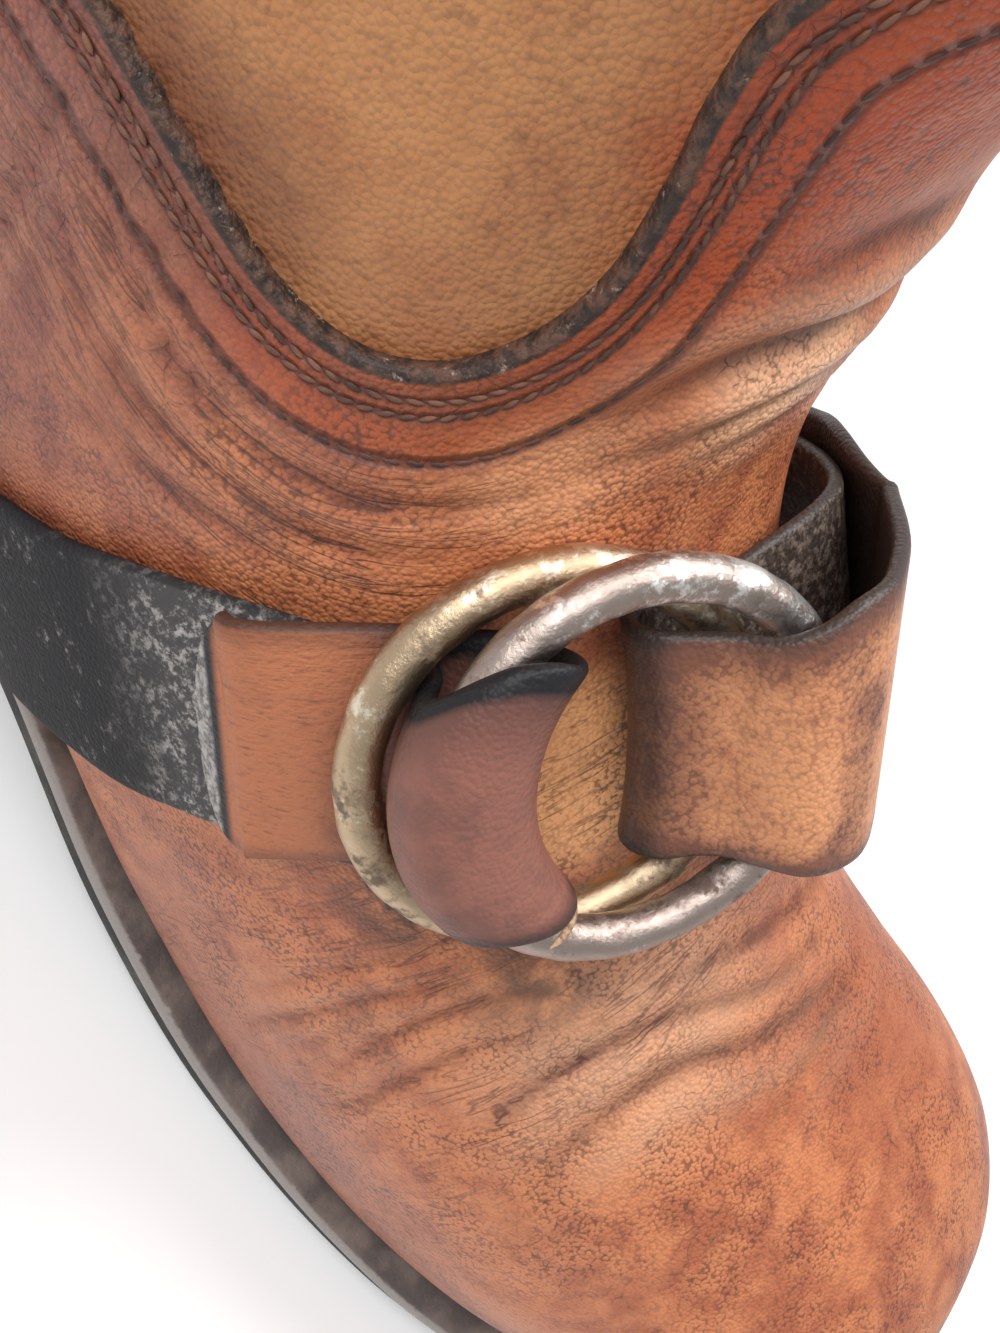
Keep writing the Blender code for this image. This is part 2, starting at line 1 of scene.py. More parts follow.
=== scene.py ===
"""Looks of a worn brown engineer boot, the right one of a pair.

Sizes are millimetres in the boot's own frame until a mesh is made: x runs from
the heel to the toe, +y is the medial side and z is up from the floor.
"""

import bpy
import numpy as np
from mathutils import Matrix


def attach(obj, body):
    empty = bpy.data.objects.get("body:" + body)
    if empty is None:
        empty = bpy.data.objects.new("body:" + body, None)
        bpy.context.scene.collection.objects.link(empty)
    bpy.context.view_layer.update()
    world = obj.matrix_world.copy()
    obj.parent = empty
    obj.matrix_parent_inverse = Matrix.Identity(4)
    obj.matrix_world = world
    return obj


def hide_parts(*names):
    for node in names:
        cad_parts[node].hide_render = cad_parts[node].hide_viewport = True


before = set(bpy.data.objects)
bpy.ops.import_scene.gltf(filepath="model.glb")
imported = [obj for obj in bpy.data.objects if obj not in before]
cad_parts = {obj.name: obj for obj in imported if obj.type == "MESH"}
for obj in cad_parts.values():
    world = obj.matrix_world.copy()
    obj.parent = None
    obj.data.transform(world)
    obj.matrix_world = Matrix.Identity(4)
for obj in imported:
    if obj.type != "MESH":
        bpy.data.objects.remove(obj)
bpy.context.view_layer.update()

# Insole: a plain layer of tanned leather that the foot stands on, cut to the plan of
# the last and lying on the welt inside the upper. The outline and the heights of the
# whole bottom start here, because every other layer is cut to them.
MILLIMETRE = 0.001
GAP = 0.3
HEEL_RISE = 28.0
HEEL_BREAST_X = 42.0
BALL_X = 155.0
SPRING_X = 195.0
TOE_SPRING = 10.0
OUTSOLE_THICK = 6.4
WELT_THICK = 4.0
WELT_REACH = 6.5
INSOLE_THICK = 3.0
INSOLE_INSET = 12.0
INSOLE_ROUND = 0.8
FEATHER_RISE = OUTSOLE_THICK + WELT_THICK + 4 * GAP
SWING_DEG = 7.0
SWING_PIVOT_X = 70.0
SWING_FROM_X = 40.0
SWING_TO_X = 160.0
HEEL_BACK = (-38.0, 0.0)
TOE_TIP = (270.0, 9.0)
OUTLINE = (
    # x, lateral edge, medial edge
    (-24, -26, 25), (4, -34, 33.5), (40, -34.5, 33.5), (80, -38, 33), (115, -45.5, 35.5),
    (150, -52, 42), (182, -53.5, 50), (212, -50, 53), (240, -39, 48), (259, -22, 35),
)
OUTLINE_STEPS = 60
OUTLINE_POINTS = 900
LAYER_STATIONS = 150
LAYER_ENDS = (0.006, 0.994)
FRONT_CROWDING = 0.6
CORNER_POINTS = 5
CORNER_SHARE = 0.4
LEVEL_POINTS = 9
INSOLE_TAN = (0.42, 0.27, 0.15, 1)
INSOLE_DARK = (0.2, 0.11, 0.06, 1)


def smooth(start, stop, x):
    """Rise from 0 to 1 between start and stop: 3 t squared minus 2 t cubed."""
    t = np.clip((np.asarray(x, float) - start) / (stop - start), 0, 1)
    return t * t * (3 - 2 * t)


def cubic(padded, t, spans, shift=0):
    """Catmull-Rom value at the place t of a row of points that has one more at each end."""
    i = np.clip(np.floor(t).astype(int), 0, spans - 1)
    f = (t - i)[..., None]
    a, b, c, d = (padded[(i + k + shift) % len(padded)] for k in range(4))
    return 0.5 * (2 * b + (c - a) * f + (2 * a - 5 * b + 4 * c - d) * f ** 2
                  + (3 * b - a - 3 * c + d) * f ** 3)


def through(points, steps):
    """Catmull-Rom curve through the points with the same number of steps in each span."""
    p = np.asarray(points, float)
    padded = np.vstack([2 * p[0] - p[1], p, 2 * p[-1] - p[-2]])
    spans = len(p) - 1
    return cubic(padded, np.linspace(0, spans, spans * steps + 1), spans)


def run_length(curve):
    """Length along a curve up to each of its points."""
    return np.concatenate([[0], np.cumsum(np.linalg.norm(np.diff(curve, axis=0), axis=1))])


def even(curve, count):
    """Points at equal steps of length along a curve."""
    length = run_length(curve)
    s = np.linspace(0, length[-1], count)
    return np.stack([np.interp(s, length, curve[:, k]) for k in range(curve.shape[1])], 1)


def sole_under(x):
    """Height of the outsole's underside: heel rise, level ball, toe spring as a parabola."""
    x = np.asarray(x, float)
    heel = HEEL_RISE * (1 - smooth(HEEL_BREAST_X, BALL_X, x))
    spring = np.clip((x - SPRING_X) / (TOE_TIP[0] - SPRING_X), 0, 1) ** 2
    return heel + TOE_SPRING * spring


def swing(points):
    """Turn the forefoot about the pivot towards the medial side by a smooth angle."""
    q = np.array(points, float)
    angle = np.radians(SWING_DEG) * smooth(SWING_FROM_X, SWING_TO_X, q[..., 0])
    x = q[..., 0] - SWING_PIVOT_X
    y = q[..., 1].copy()
    q[..., 0] = SWING_PIVOT_X + x * np.cos(angle) - y * np.sin(angle)
    q[..., 1] = x * np.sin(angle) + y * np.cos(angle)
    return q


def outline_half(inset, side, share):
    """Points of one half of the plan outline, moved inwards, at shares from the toe tip."""
    lateral = [(x, y) for x, y, other in OUTLINE]
    medial = [(x, y) for x, other, y in OUTLINE]
    corners = np.array([HEEL_BACK] + lateral + [TOE_TIP] + medial[::-1], float)
    t = np.arange(len(corners) * OUTLINE_STEPS) / OUTLINE_STEPS
    ring = cubic(corners, t, len(corners), -1)
    ring = even(np.vstack([ring, ring[:1]]), OUTLINE_POINTS + 1)[:-1]
    along = np.roll(ring, -1, 0) - np.roll(ring, 1, 0)
    inward = np.stack([-along[:, 1], along[:, 0]], 1)
    ring = ring + inset * inward / np.linalg.norm(inward, axis=1)[:, None]
    ring = np.roll(ring, -int(np.argmin(ring[:, 0])), 0)
    toe = int(np.argmax(ring[:, 0]))
    half = ring[:toe + 1][::-1] if side < 0 else np.vstack([ring[toe:], ring[:1]])
    length = run_length(half)
    return np.stack([np.interp(share, length / length[-1], half[:, k]) for k in range(2)], -1)


def layer(inset, bottom, thick, rounding, front_x=None):
    """Layer of the sole as a grid: at each station a loop across it with rounded edges.

    The loop goes up the lateral edge, over the top, down the medial edge and back
    underneath; its corners are quarter circles. With front_x the layer starts there
    instead of at the toe tip.
    """
    share = 0.5 - 0.5 * np.cos(np.pi * np.linspace(*LAYER_ENDS, LAYER_STATIONS))
    sides = []
    for side in (-1, 1):
        own = share
        if front_x is not None:
            dense = np.linspace(0, 1, OUTLINE_POINTS)
            first = np.interp(-front_x, -outline_half(inset, side, dense)[:, 0], dense)
            own = first + (share[-1] - first) * np.linspace(0, 1, LAYER_STATIONS) ** FRONT_CROWDING
        sides.append(outline_half(inset, side, own))
    lateral, medial = sides
    width = np.linalg.norm(medial - lateral, axis=1)[:, None]
    turn = np.linspace(0, np.pi / 2, CORNER_POINTS)
    corner = np.minimum(rounding, CORNER_SHARE * width) / width
    edge = corner * (1 - np.sin(turn))
    lift = rounding * (1 - np.cos(turn))
    level = np.linspace(0, 1, LEVEL_POINTS)[1:-1]
    flat = corner + level * (1 - 2 * corner)
    across = [edge, edge[:, ::-1], flat, 1 - edge, 1 - edge[:, ::-1], flat[:, ::-1]]
    across = np.concatenate(across, 1)
    height = [lift, thick - lift[::-1], thick + 0 * level, thick - lift, lift[::-1], 0 * level]
    height = np.concatenate(height)
    xy = lateral[:, None] + (medial - lateral)[:, None] * across[..., None]
    z = bottom(xy[..., 0]) + height
    return swing(np.concatenate([xy, z[..., None]], -1))


def grid_quads(index):
    """Quads between neighbouring rows and columns of an array of vertex numbers."""
    quads = np.stack([index[:-1, :-1], index[1:, :-1], index[1:, 1:], index[:-1, 1:]], -1)
    return quads.reshape(-1, 4)


def add_piece(name, points, faces, material, attributes=None, caps=(), facing=1):
    """Smooth mesh object riding on the boot, from millimetre points and quads.

    The faces are turned so that the volume they enclose has the sign of facing;
    attributes hold one number for each point, and caps are rings of points to close.
    """
    points = np.asarray(points, float).reshape(-1, 3)
    used = np.unique(faces)
    renumber = np.zeros(len(points), int)
    renumber[used] = np.arange(len(used))
    faces = renumber[faces]
    caps = [renumber[cap] for cap in caps]
    points = points[used] * MILLIMETRE
    a, b, c, d = (points[faces[:, k]] - points.mean(0) for k in range(4))
    volume = np.sum(np.cross(a, b) * c) + np.sum(np.cross(a, c) * d)
    if volume * facing < 0:
        faces = faces[:, ::-1]
        caps = [cap[::-1] for cap in caps]
    mesh = bpy.data.meshes.new(name)
    mesh.from_pydata(points.tolist(), [], faces.tolist() + [cap.tolist() for cap in caps])
    mesh.shade_smooth()
    for key, values in (attributes or {}).items():
        layer_data = mesh.attributes.new(key, "FLOAT", "POINT").data
        layer_data.foreach_set("value", np.asarray(values, float).reshape(-1)[used])
    mesh.materials.append(material)
    piece = bpy.data.objects.new(name, mesh)
    bpy.context.scene.collection.objects.link(piece)
    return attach(piece, "root")


def wrapped(rows, columns):
    """Vertex numbers of a grid, with the first one of each row again at its end."""
    index = np.arange(rows * columns).reshape(rows, columns)
    return np.concatenate([index, index[:, :1]], 1)


def add_tube(name, grid, material, attributes=None):
    """Piece from a grid of loops, closed round each loop and capped at both ends."""
    index = wrapped(*grid.shape[:2])
    caps = (index[0, :-1][::-1], index[-1, :-1])
    return add_piece(name, grid, grid_quads(index), material, attributes, caps)


def add_ring(name, grid, material):
    """Piece from a grid of loops that is closed both ways."""
    index = wrapped(*grid.shape[:2])
    return add_piece(name, grid, grid_quads(np.vstack([index, index[:1]])), material)


class Shade:
    """One socket of a material's nodes; an operator between shades or numbers adds a Math node."""

    def __init__(self, tree, socket=None):
        self.tree = tree
        self.socket = socket

    def node(self, kind, settings, inputs, output=0):
        """New node: its settings first, then values or links of its sockets; gives one output."""
        made = self.tree.nodes.new(kind)
        for key, value in settings.items():
            setattr(made, key, value)
        for key, value in inputs.items():
            if isinstance(value, Shade):
                self.tree.links.new(value.socket, made.inputs[key])
            else:
                made.inputs[key].default_value = value
        return Shade(self.tree, made.outputs[output])

    def math(self, operation, *values):
        """Math node of that operation on the values."""
        return self.node("ShaderNodeMath", {"operation": operation}, dict(enumerate(values)))

    def __add__(self, other):
        return self.math("ADD", self, other)

    def __sub__(self, other):
        return self.math("SUBTRACT", self, other)

    def __rsub__(self, other):
        return self.math("SUBTRACT", other, self)

    def __mul__(self, other):
        return self.math("MULTIPLY", self, other)

    def __truediv__(self, other):
        return self.math("DIVIDE", self, other)

    __radd__ = __add__
    __rmul__ = __mul__

    def rise(self, start, stop):
        """0 up to start, 1 from stop on, smooth between; falls where start is the larger."""
        settings = {"interpolation_type": "SMOOTHSTEP"}
        return self.node("ShaderNodeMapRange", settings, {0: self, 1: start, 2: stop})

    def band(self, start, full, fall, stop):
        """Rise from start to full, then fall from fall to stop."""
        return self.rise(start, full) * self.rise(stop, fall)

    def groove(self, middle, flat, half):
        """1 within flat of the middle, 0 from half on."""
        return self.band(middle - half, middle - flat, middle + flat, middle + half)

    def colours(self, low, high):
        """Colour low where this is 0 and high where it is 1."""
        return self.node("ShaderNodeMix", {"data_type": "RGBA"}, {0: self, 6: low, 7: high}, 2)

    def stretched(self, x, y, z):
        """Coordinates multiplied by a factor along each axis."""
        return self.node("ShaderNodeVectorMath", {"operation": "MULTIPLY"}, {0: self, 1: (x, y, z)})

    def noise(self, size, detail=3.0, rough=0.55, bend=0.0):
        """Cloudy noise whose lumps are about size millimetres wide."""
        inputs = {"Vector": self, "Scale": 1 / size, "Detail": detail,
                  "Roughness": rough, "Distortion": bend}
        return self.node("ShaderNodeTexNoise", {}, inputs)

    def cells(self, size, feature="F1"):
        """Distance inside irregular cells of about size millimetres."""
        return self.node("ShaderNodeTexVoronoi", {"feature": feature}, {"Vector": self, "Scale": 1 / size})

    def bent(self, size, amount):
        """Coordinates moved by up to about half an amount in millimetres, by cloudy noise."""
        cloud = self.node("ShaderNodeTexNoise", {}, {"Vector": self, "Scale": 1 / size}, 1)
        settings = {"operation": "MULTIPLY_ADD"}
        return self.node("ShaderNodeVectorMath", settings, {0: cloud, 1: (amount, amount, amount), 2: self})

    def thin(self, width):
        """1 on the thin lines where this noise crosses its middle value, 0 off them."""
        return self.math("ABSOLUTE", self - 0.5).rise(width, 0)

    def near(self, point, inner, outer):
        """1 within inner millimetres of a point, 0 beyond outer."""
        far = self.node("ShaderNodeVectorMath", {"operation": "DISTANCE"}, {0: self, 1: point}, 1)
        return far.rise(outer, inner)

    def attribute(self, name):
        """The piece's own attribute of that name."""
        return self.node("ShaderNodeAttribute", {"attribute_name": name}, {}, 2)

    def joined(self, x, y, z=0.0):
        """Coordinates from three numbers."""
        return self.node("ShaderNodeCombineXYZ", {}, {0: x, 1: y, 2: z})

    def part(self, axis):
        """One of the three numbers of coordinates."""
        return self.node("ShaderNodeSeparateXYZ", {}, {0: self}, axis)


def new_finish(name, **constants):
    """Material with constant sockets set, its shader, and object coordinates in millimetres."""
    material = bpy.data.materials.new(name)
    material.use_nodes = True
    tree = material.node_tree
    shader = tree.nodes["Principled BSDF"]
    for key, value in constants.items():
        shader.inputs[key.replace("_", " ").title().replace("Ior", "IOR")].default_value = value
    place = Shade(tree).node("ShaderNodeTexCoord", {}, {}, 3)
    scale = {"operation": "MULTIPLY"}
    place = place.node("ShaderNodeVectorMath", scale, {0: place, 1: (1 / MILLIMETRE,) * 3})
    return material, shader, place


def dress(shader, colour, roughness, height, **others):
    """Join colour, roughness and a bump of a height in millimetres to a shader."""
    links = colour.tree.links
    links.new(colour.socket, shader.inputs["Base Color"])
    links.new(roughness.socket, shader.inputs["Roughness"])
    bump = height.node("ShaderNodeBump", {}, {"Height": height, "Distance": MILLIMETRE})
    links.new(bump.socket, shader.inputs["Normal"])
    for key, value in others.items():
        links.new(value.socket, shader.inputs[key.replace("_", " ").title()])


insole_finish, shader, place = new_finish("insole leather")
cloud = place.noise(22, 4)
dress(shader, cloud.rise(0.35, 0.7).colours(INSOLE_TAN, INSOLE_DARK),
      0.6 + 0.3 * cloud, place.noise(0.8, 4) * 0.15)
insole = layer(INSOLE_INSET, lambda x: sole_under(x) + FEATHER_RISE, INSOLE_THICK, INSOLE_ROUND)
insole = add_tube("insole_leather", insole, insole_finish)
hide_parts("insole")

# Welt: a strip of black leather all round between upper and outsole, worn to grey on
# its rounded outer edge. It is one full layer here.
WELT_ROUND = 1.5
RIM_WEAR = (0.25, 0.7, 1, 1, 1, 1, 0.55, 0)
LATERAL_RIM = slice(2, 10)
MEDIAL_RIM = slice(17, 25)
WELT_BLACK = (0.1, 0.083, 0.078, 1)
WELT_BROWN = (0.21, 0.165, 0.145, 1)
WELT_GREY = (0.34, 0.3, 0.28, 1)

welt_grid = layer(0.0, lambda x: sole_under(x) + OUTSOLE_THICK + GAP, WELT_THICK, WELT_ROUND)
welt_finish, shader, place = new_finish("welt leather", coat_weight=0.1)
cloud = place.noise(9, 5)
fibre = place.stretched(1, 1, 3).noise(1.2, 5, 0.7)
worn = place.attribute("rim") * (0.55 + 0.9 * fibre) + 0.35 * place.noise(3, 4).rise(0.58, 0.72)
colour = cloud.rise(0.4, 0.65).colours(WELT_BLACK, WELT_BROWN)
colour = worn.rise(0.45, 1.0).colours(colour, WELT_GREY)
dress(shader, colour, 0.42 + 0.3 * fibre, fibre * 0.22 + place.noise(0.5, 3) * 0.08)
rim = np.zeros(welt_grid.shape[:2])
rim[:, LATERAL_RIM] = RIM_WEAR
rim[:, MEDIAL_RIM] = RIM_WEAR[::-1]
welt = add_tube("welt_leather", welt_grid, welt_finish, {"rim": rim})
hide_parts("welt")

# Outsole: black rubber from toe to heel under the welt, a little smaller than it, with
# a matt worn edge that carries dust.
OUTSOLE_INSET = 1.0
OUTSOLE_ROUND = 1.2
RUBBER_BLACK = (0.022, 0.02, 0.019, 1)
RUBBER_DUST = (0.16, 0.145, 0.13, 1)


def rubber_finish(name):
    """Matt black rubber, dusty in low spots, with a fine tooth."""
    material, shader, place = new_finish(name)
    dust = place.noise(14, 6, 0.65).rise(0.5, 0.75)
    tooth = place.noise(0.6, 4)
    dress(shader, (dust * 0.6).colours(RUBBER_BLACK, RUBBER_DUST), 0.6 + 0.3 * tooth, tooth * 0.12)
    return material


outsole = add_tube("outsole_rubber", layer(OUTSOLE_INSET, sole_under, OUTSOLE_THICK, OUTSOLE_ROUND),
                    rubber_finish("outsole rubber"))
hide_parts("outsole")

# Heel: lifts of leather glued and nailed in a stack under the seat, dyed black and
# waxed, so that the layers show as fine level lines.
HEEL_INSET = 1.5
HEEL_ROUND = 0.8
HEEL_LIFT_THICK = 7.0
HEEL_PLY = 4.0
HEEL_BROWN = (0.07, 0.042, 0.03, 1)
HEEL_DARK = (0.018, 0.014, 0.012, 1)

heel_finish, shader, place = new_finish("stacked heel leather", coat_weight=0.15)
stack = place.part(2) / HEEL_PLY
ply = stack.math("FRACT", stack)
line = ply.math("PINGPONG", ply, 0.5).rise(0.1, 0.0)
streak = place.stretched(0.25, 0.25, 3).noise(2, 5)
dress(shader, (0.75 * line + 0.5 * streak).rise(0.3, 0.9).colours(HEEL_BROWN, HEEL_DARK),
      0.35 + 0.35 * streak, streak * 0.15 - line * 0.2)
heel = layer(HEEL_INSET, lambda x: 0 * x + HEEL_LIFT_THICK + GAP,
             HEEL_RISE - 2 * GAP - HEEL_LIFT_THICK, HEEL_ROUND, HEEL_BREAST_X)
heel = add_tube("heel_stack", heel, heel_finish)
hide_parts("heel")

# Heel lift: the top piece that the boot stands on, a slab of black rubber glued and
# nailed under the heel's stack and cut to the same outline.
heel_lift = layer(HEEL_INSET, lambda x: 0 * x, HEEL_LIFT_THICK, HEEL_ROUND, HEEL_BREAST_X)
heel_lift = add_tube("heel_lift_rubber", heel_lift, rubber_finish("heel lift rubber"))
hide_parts("heel_lift")

# Upper: waxed brown leather pulled over the last. A vamp and counter of thick leather
# lie over the thinner shaft with a raw edge that dips in a U at each ankle. Folds from
# wear run across the ankle and the ball and follow the U.
SHAFT_WALL = 1.8
VAMP_STEP = 1.2
LEAST_BULGE = 1.5
SECTION_COLUMNS = ("top_x", "top_z", "ridge_y", "share", "back_x", "back_z",
                   "lateral", "medial", "level", "round")
SECTIONS = (
    ("toe edge", 263.3, 20.0, 9, 0.10, 0, 0, 27, 24, 0.55, 2.2),
    ("toe wall", 265.5, 40, 9, 0.13, 0, 0, 33, 29, 0.50, 2.2),
    ("toe crown", 257, 58, 9, 0.17, 0, 0, 38, 34, 0.45, 2.2),
    ("toe top", 236, 69, 9, 0.22, 0, 0, 44, 42, 0.40, 2.2),
    ("vamp front", 205, 75.5, 9, 0.29, 0, 0, 49, 46, 0.38, 2.2),
    ("ball", 173, 84, 7, 0.38, 0, 0, 49, 44, 0.38, 2.2),
    ("waist", 145, 96.5, 6, 0.48, 0, 0, 45, 41, 0.38, 2.2),
    ("instep", 121, 112, 6, 0.58, 0, 0, 41, 41, 0.40, 2.35),
    ("ankle bend", 103.5, 130, 10, 0.68, 0, 0, 40, 45.5, 0.42, 2.5),
    ("ankle", 95.5, 152, 11, 0.79, 0, 0, 40, 47, 0.45, 2.5),
    ("heel seat", 91.5, 176, 10, 0.90, 0, 0, 40, 47, 0.48, 2.45),
    ("heel corner", 89.5, 199, 8, 1.00, -31.5, 39.4, 40, 46, 0.50, 2.35),
    ("heel back", 88.5, 224, 4, 1.00, -37, 85, 41, 43.5, 0.50, 2.25),
    ("calf start", 89, 252, 1, 1.00, -34, 145, 44, 45, 0.50, 2.2),
    ("shaft", 91, 283, 0, 1.00, -36, 220, 48, 48, 0.50, 2.2),
    ("collar", 94, 318, 0, 1.00, -40, 318, 52, 52, 0.50, 2.2),
)
HEEL_ROW = 11
UPPER_ROWS = np.concatenate([np.linspace(0, 2, 34), np.linspace(2, HEEL_ROW, 310)[1:],
                             np.linspace(HEEL_ROW, len(SECTIONS) - 1, 190)[1:]])
UPPER_COLUMNS = np.concatenate([np.linspace(-1, 0.4, 140), np.linspace(0.4, 1, 37)[1:]])
# lateral half of the vamp's raw edge from the back of the heel to the tongue: row, column
EDGE_HALF = (
    (12.64, -1.0), (12.54, -0.834), (12.32, -0.714), (12.03, -0.62), (11.58, -0.524),
    (10.83, -0.458), (10.2, -0.42), (9.73, -0.392), (9.37, -0.366), (9.14, -0.342),
    (8.97, -0.312), (8.89, -0.278), (8.92, -0.248), (9.03, -0.224), (9.21, -0.211),
    (9.5, -0.209), (9.84, -0.214), (10.14, -0.21), (10.38, -0.175), (10.48, -0.1), (10.5, 0),
)
# folds: name, depth, half width, rows and columns along the fold
FOLDS = (
    ("ankle fold", 1.7, 2.6, ((8.5, 0.1), (8.53, 0.036), (8.5, -0.018), (8.56, -0.076),
        (8.57, -0.116), (8.48, -0.15), (8.36, -0.18))),
    ("second ankle fold", 0.7, 1.6, ((8.34, 0.046), (8.2, 0.012), (8.23, -0.046), (8.22, -0.096),
        (8.22, -0.138), (8.23, -0.19))),
    ("third ankle fold", 0.35, 1.4, ((8.0, 0.07), (7.9, 0.026), (7.98, -0.044), (8.06, -0.1))),
    ("shin fold", 0.6, 3.0, ((8.89, 0.026), (9.0, -0.05), (8.95, -0.086), (8.84, -0.112))),
    ("back wrinkle", 0.45, 1.3, ((9.88, -0.43), (9.51, -0.428), (9.12, -0.412), (8.78, -0.386),
        (8.52, -0.348), (8.32, -0.298), (8.16, -0.242))),
    ("back wrinkle low", 0.4, 1.3, ((9.53, -0.45), (9.17, -0.446), (8.84, -0.43), (8.57, -0.398),
        (8.3, -0.356), (8.14, -0.314), (8.01, -0.252))),
    ("back wrinkle high", 0.35, 0.9, ((9.91, -0.42), (9.62, -0.414), (9.35, -0.404), (9.06, -0.386),
        (8.78, -0.362))),
    ("heel side wrinkle", 0.35, 1.5, ((8.7, -0.458), (8.47, -0.424), (8.27, -0.386), (8.12, -0.346))),
    ("throat wrinkle", 0.3, 1.2, ((8.42, -0.326), (8.3, -0.286), (8.23, -0.244), (8.21, -0.202))),
    ("flex crease", 0.55, 1.1, ((5.9, -0.576), (6.08, -0.42), (6.1, -0.342), (6.03, -0.29))),
    ("flex crease 2", 0.6, 1.2, ((5.74, -0.452), (5.89, -0.382), (5.94, -0.298), (5.86, -0.24))),
    ("flex crease 3", 0.35, 1.0, ((6.17, -0.5), (6.27, -0.404), (6.28, -0.336))),
    ("flex crease 4", 0.45, 1.2, ((5.51, -0.486), (5.66, -0.386), (5.73, -0.312), (5.67, -0.252))),
    ("flex crease 5", 0.3, 0.9, ((5.85, -0.478), (6.01, -0.404), (6.02, -0.354))),
    ("ball trough", 0.9, 2.6, ((4.93, -0.314), (5.05, -0.28), (5.1, -0.214), (5.04, -0.156),
        (4.85, -0.102), (4.68, -0.04), (4.55, 0.03))),
    ("ball trough 2", 0.6, 2.2, ((5.29, -0.338), (5.42, -0.278), (5.42, -0.214), (5.27, -0.134),
        (4.94, -0.052), (4.8, 0.03))),
    ("toe box wrinkle", 0.4, 2.5, ((4.5, 0.068), (4.51, -0.016), (4.48, -0.078), (4.39, -0.126))),
    ("under the rings", 0.5, 2.4, ((5.55, -0.166), (5.35, -0.094), (5.14, -0.02), (5.02, 0.056))),
    ("medial flex", 0.6, 1.6, ((5.6, 0.15), (5.7, 0.28), (5.8, 0.42), (5.75, 0.55))),
    ("medial flex 2", 0.5, 1.6, ((5.2, 0.12), (5.25, 0.28), (5.35, 0.42), (5.3, 0.55))),
    ("medial ankle", 0.8, 2.2, ((8.5, 0.1), (8.7, 0.2), (8.9, 0.3), (9.2, 0.38))),
    ("side seam", 0.6, 1.0, ((10.14, -0.416), (9.69, -0.452), (9.32, -0.486), (9.0, -0.518),
        (8.71, -0.586), (8.46, -0.696), (8.32, -0.81))),
    ("medial side seam", 0.6, 1.0, ((10.14, 0.416), (9.69, 0.452), (9.32, 0.486), (9.0, 0.518),
        (8.71, 0.586), (8.46, 0.696), (8.32, 0.81))),
)
# soft swellings: name, height, row, column, half widths in rows and columns
SWELLS = (
    ("front of the ankle", 3.0, 8.4, 0.06, 0.62, 0.17),
    ("hollow over the toes", -2.2, 4.9, 0.12, 0.8, 0.2),
)
FOLD_STEPS = 12
FOLD_REACH = 90.0
FOLD_FADE = 0.6
FOLD_RIDGE = 0.45
RIDGE_AWAY = 2.2
RIDGE_WIDTH = 1.1
RIDGE_FULL_DEPTH = 1.5
SHADE_FULL_DEPTH = 0.5
SHADE_NARROWING = 2.5
EDGE_STEPS = 16
RECESS = 1.7
RECESS_FROM = 0.5
RECESS_TO = 1.7
FRAME_STEP = 0.01
POINTS_AT_ONCE = 4000
SWELL = 0.3
# uneven waves of the leather: radians for each row, radians for each column, start
WAVES = ((1.9, 9, 0), (3.1, -13, 1), (5.3, 21, 2))
LOOSE_FROM_ROW = (0.3, 2)
LOOSE_TO_ROW = (14, 15)
LOOSE_TO_COLUMN = (0.8, 0.97)


def feather(side, share):
    """Featherline points, where the upper meets the welt, at shares from the toe."""
    xy = outline_half(WELT_REACH, side, share)
    z = sole_under(xy[..., 0]) + FEATHER_RISE
    return np.concatenate([xy, z[..., None]], -1)


def section_values(v):
    """Section columns at the rows v, by Catmull-Rom between the table's rows."""
    table = np.array([row[1:] for row in SECTIONS], float)
    share = table[:, SECTION_COLUMNS.index("share")]
    middle = (feather(-1, share) + feather(1, share)) / 2
    table[:HEEL_ROW, SECTION_COLUMNS.index("back_x")] = middle[:HEEL_ROW, 0]
    table[:HEEL_ROW, SECTION_COLUMNS.index("back_z")] = middle[:HEEL_ROW, 2]
    padded = np.vstack([2 * table[0] - table[1], table, 2 * table[-1] - table[-2]])
    q = cubic(padded, v, len(table) - 1)
    return {name: q[..., k] for k, name in enumerate(SECTION_COLUMNS)}


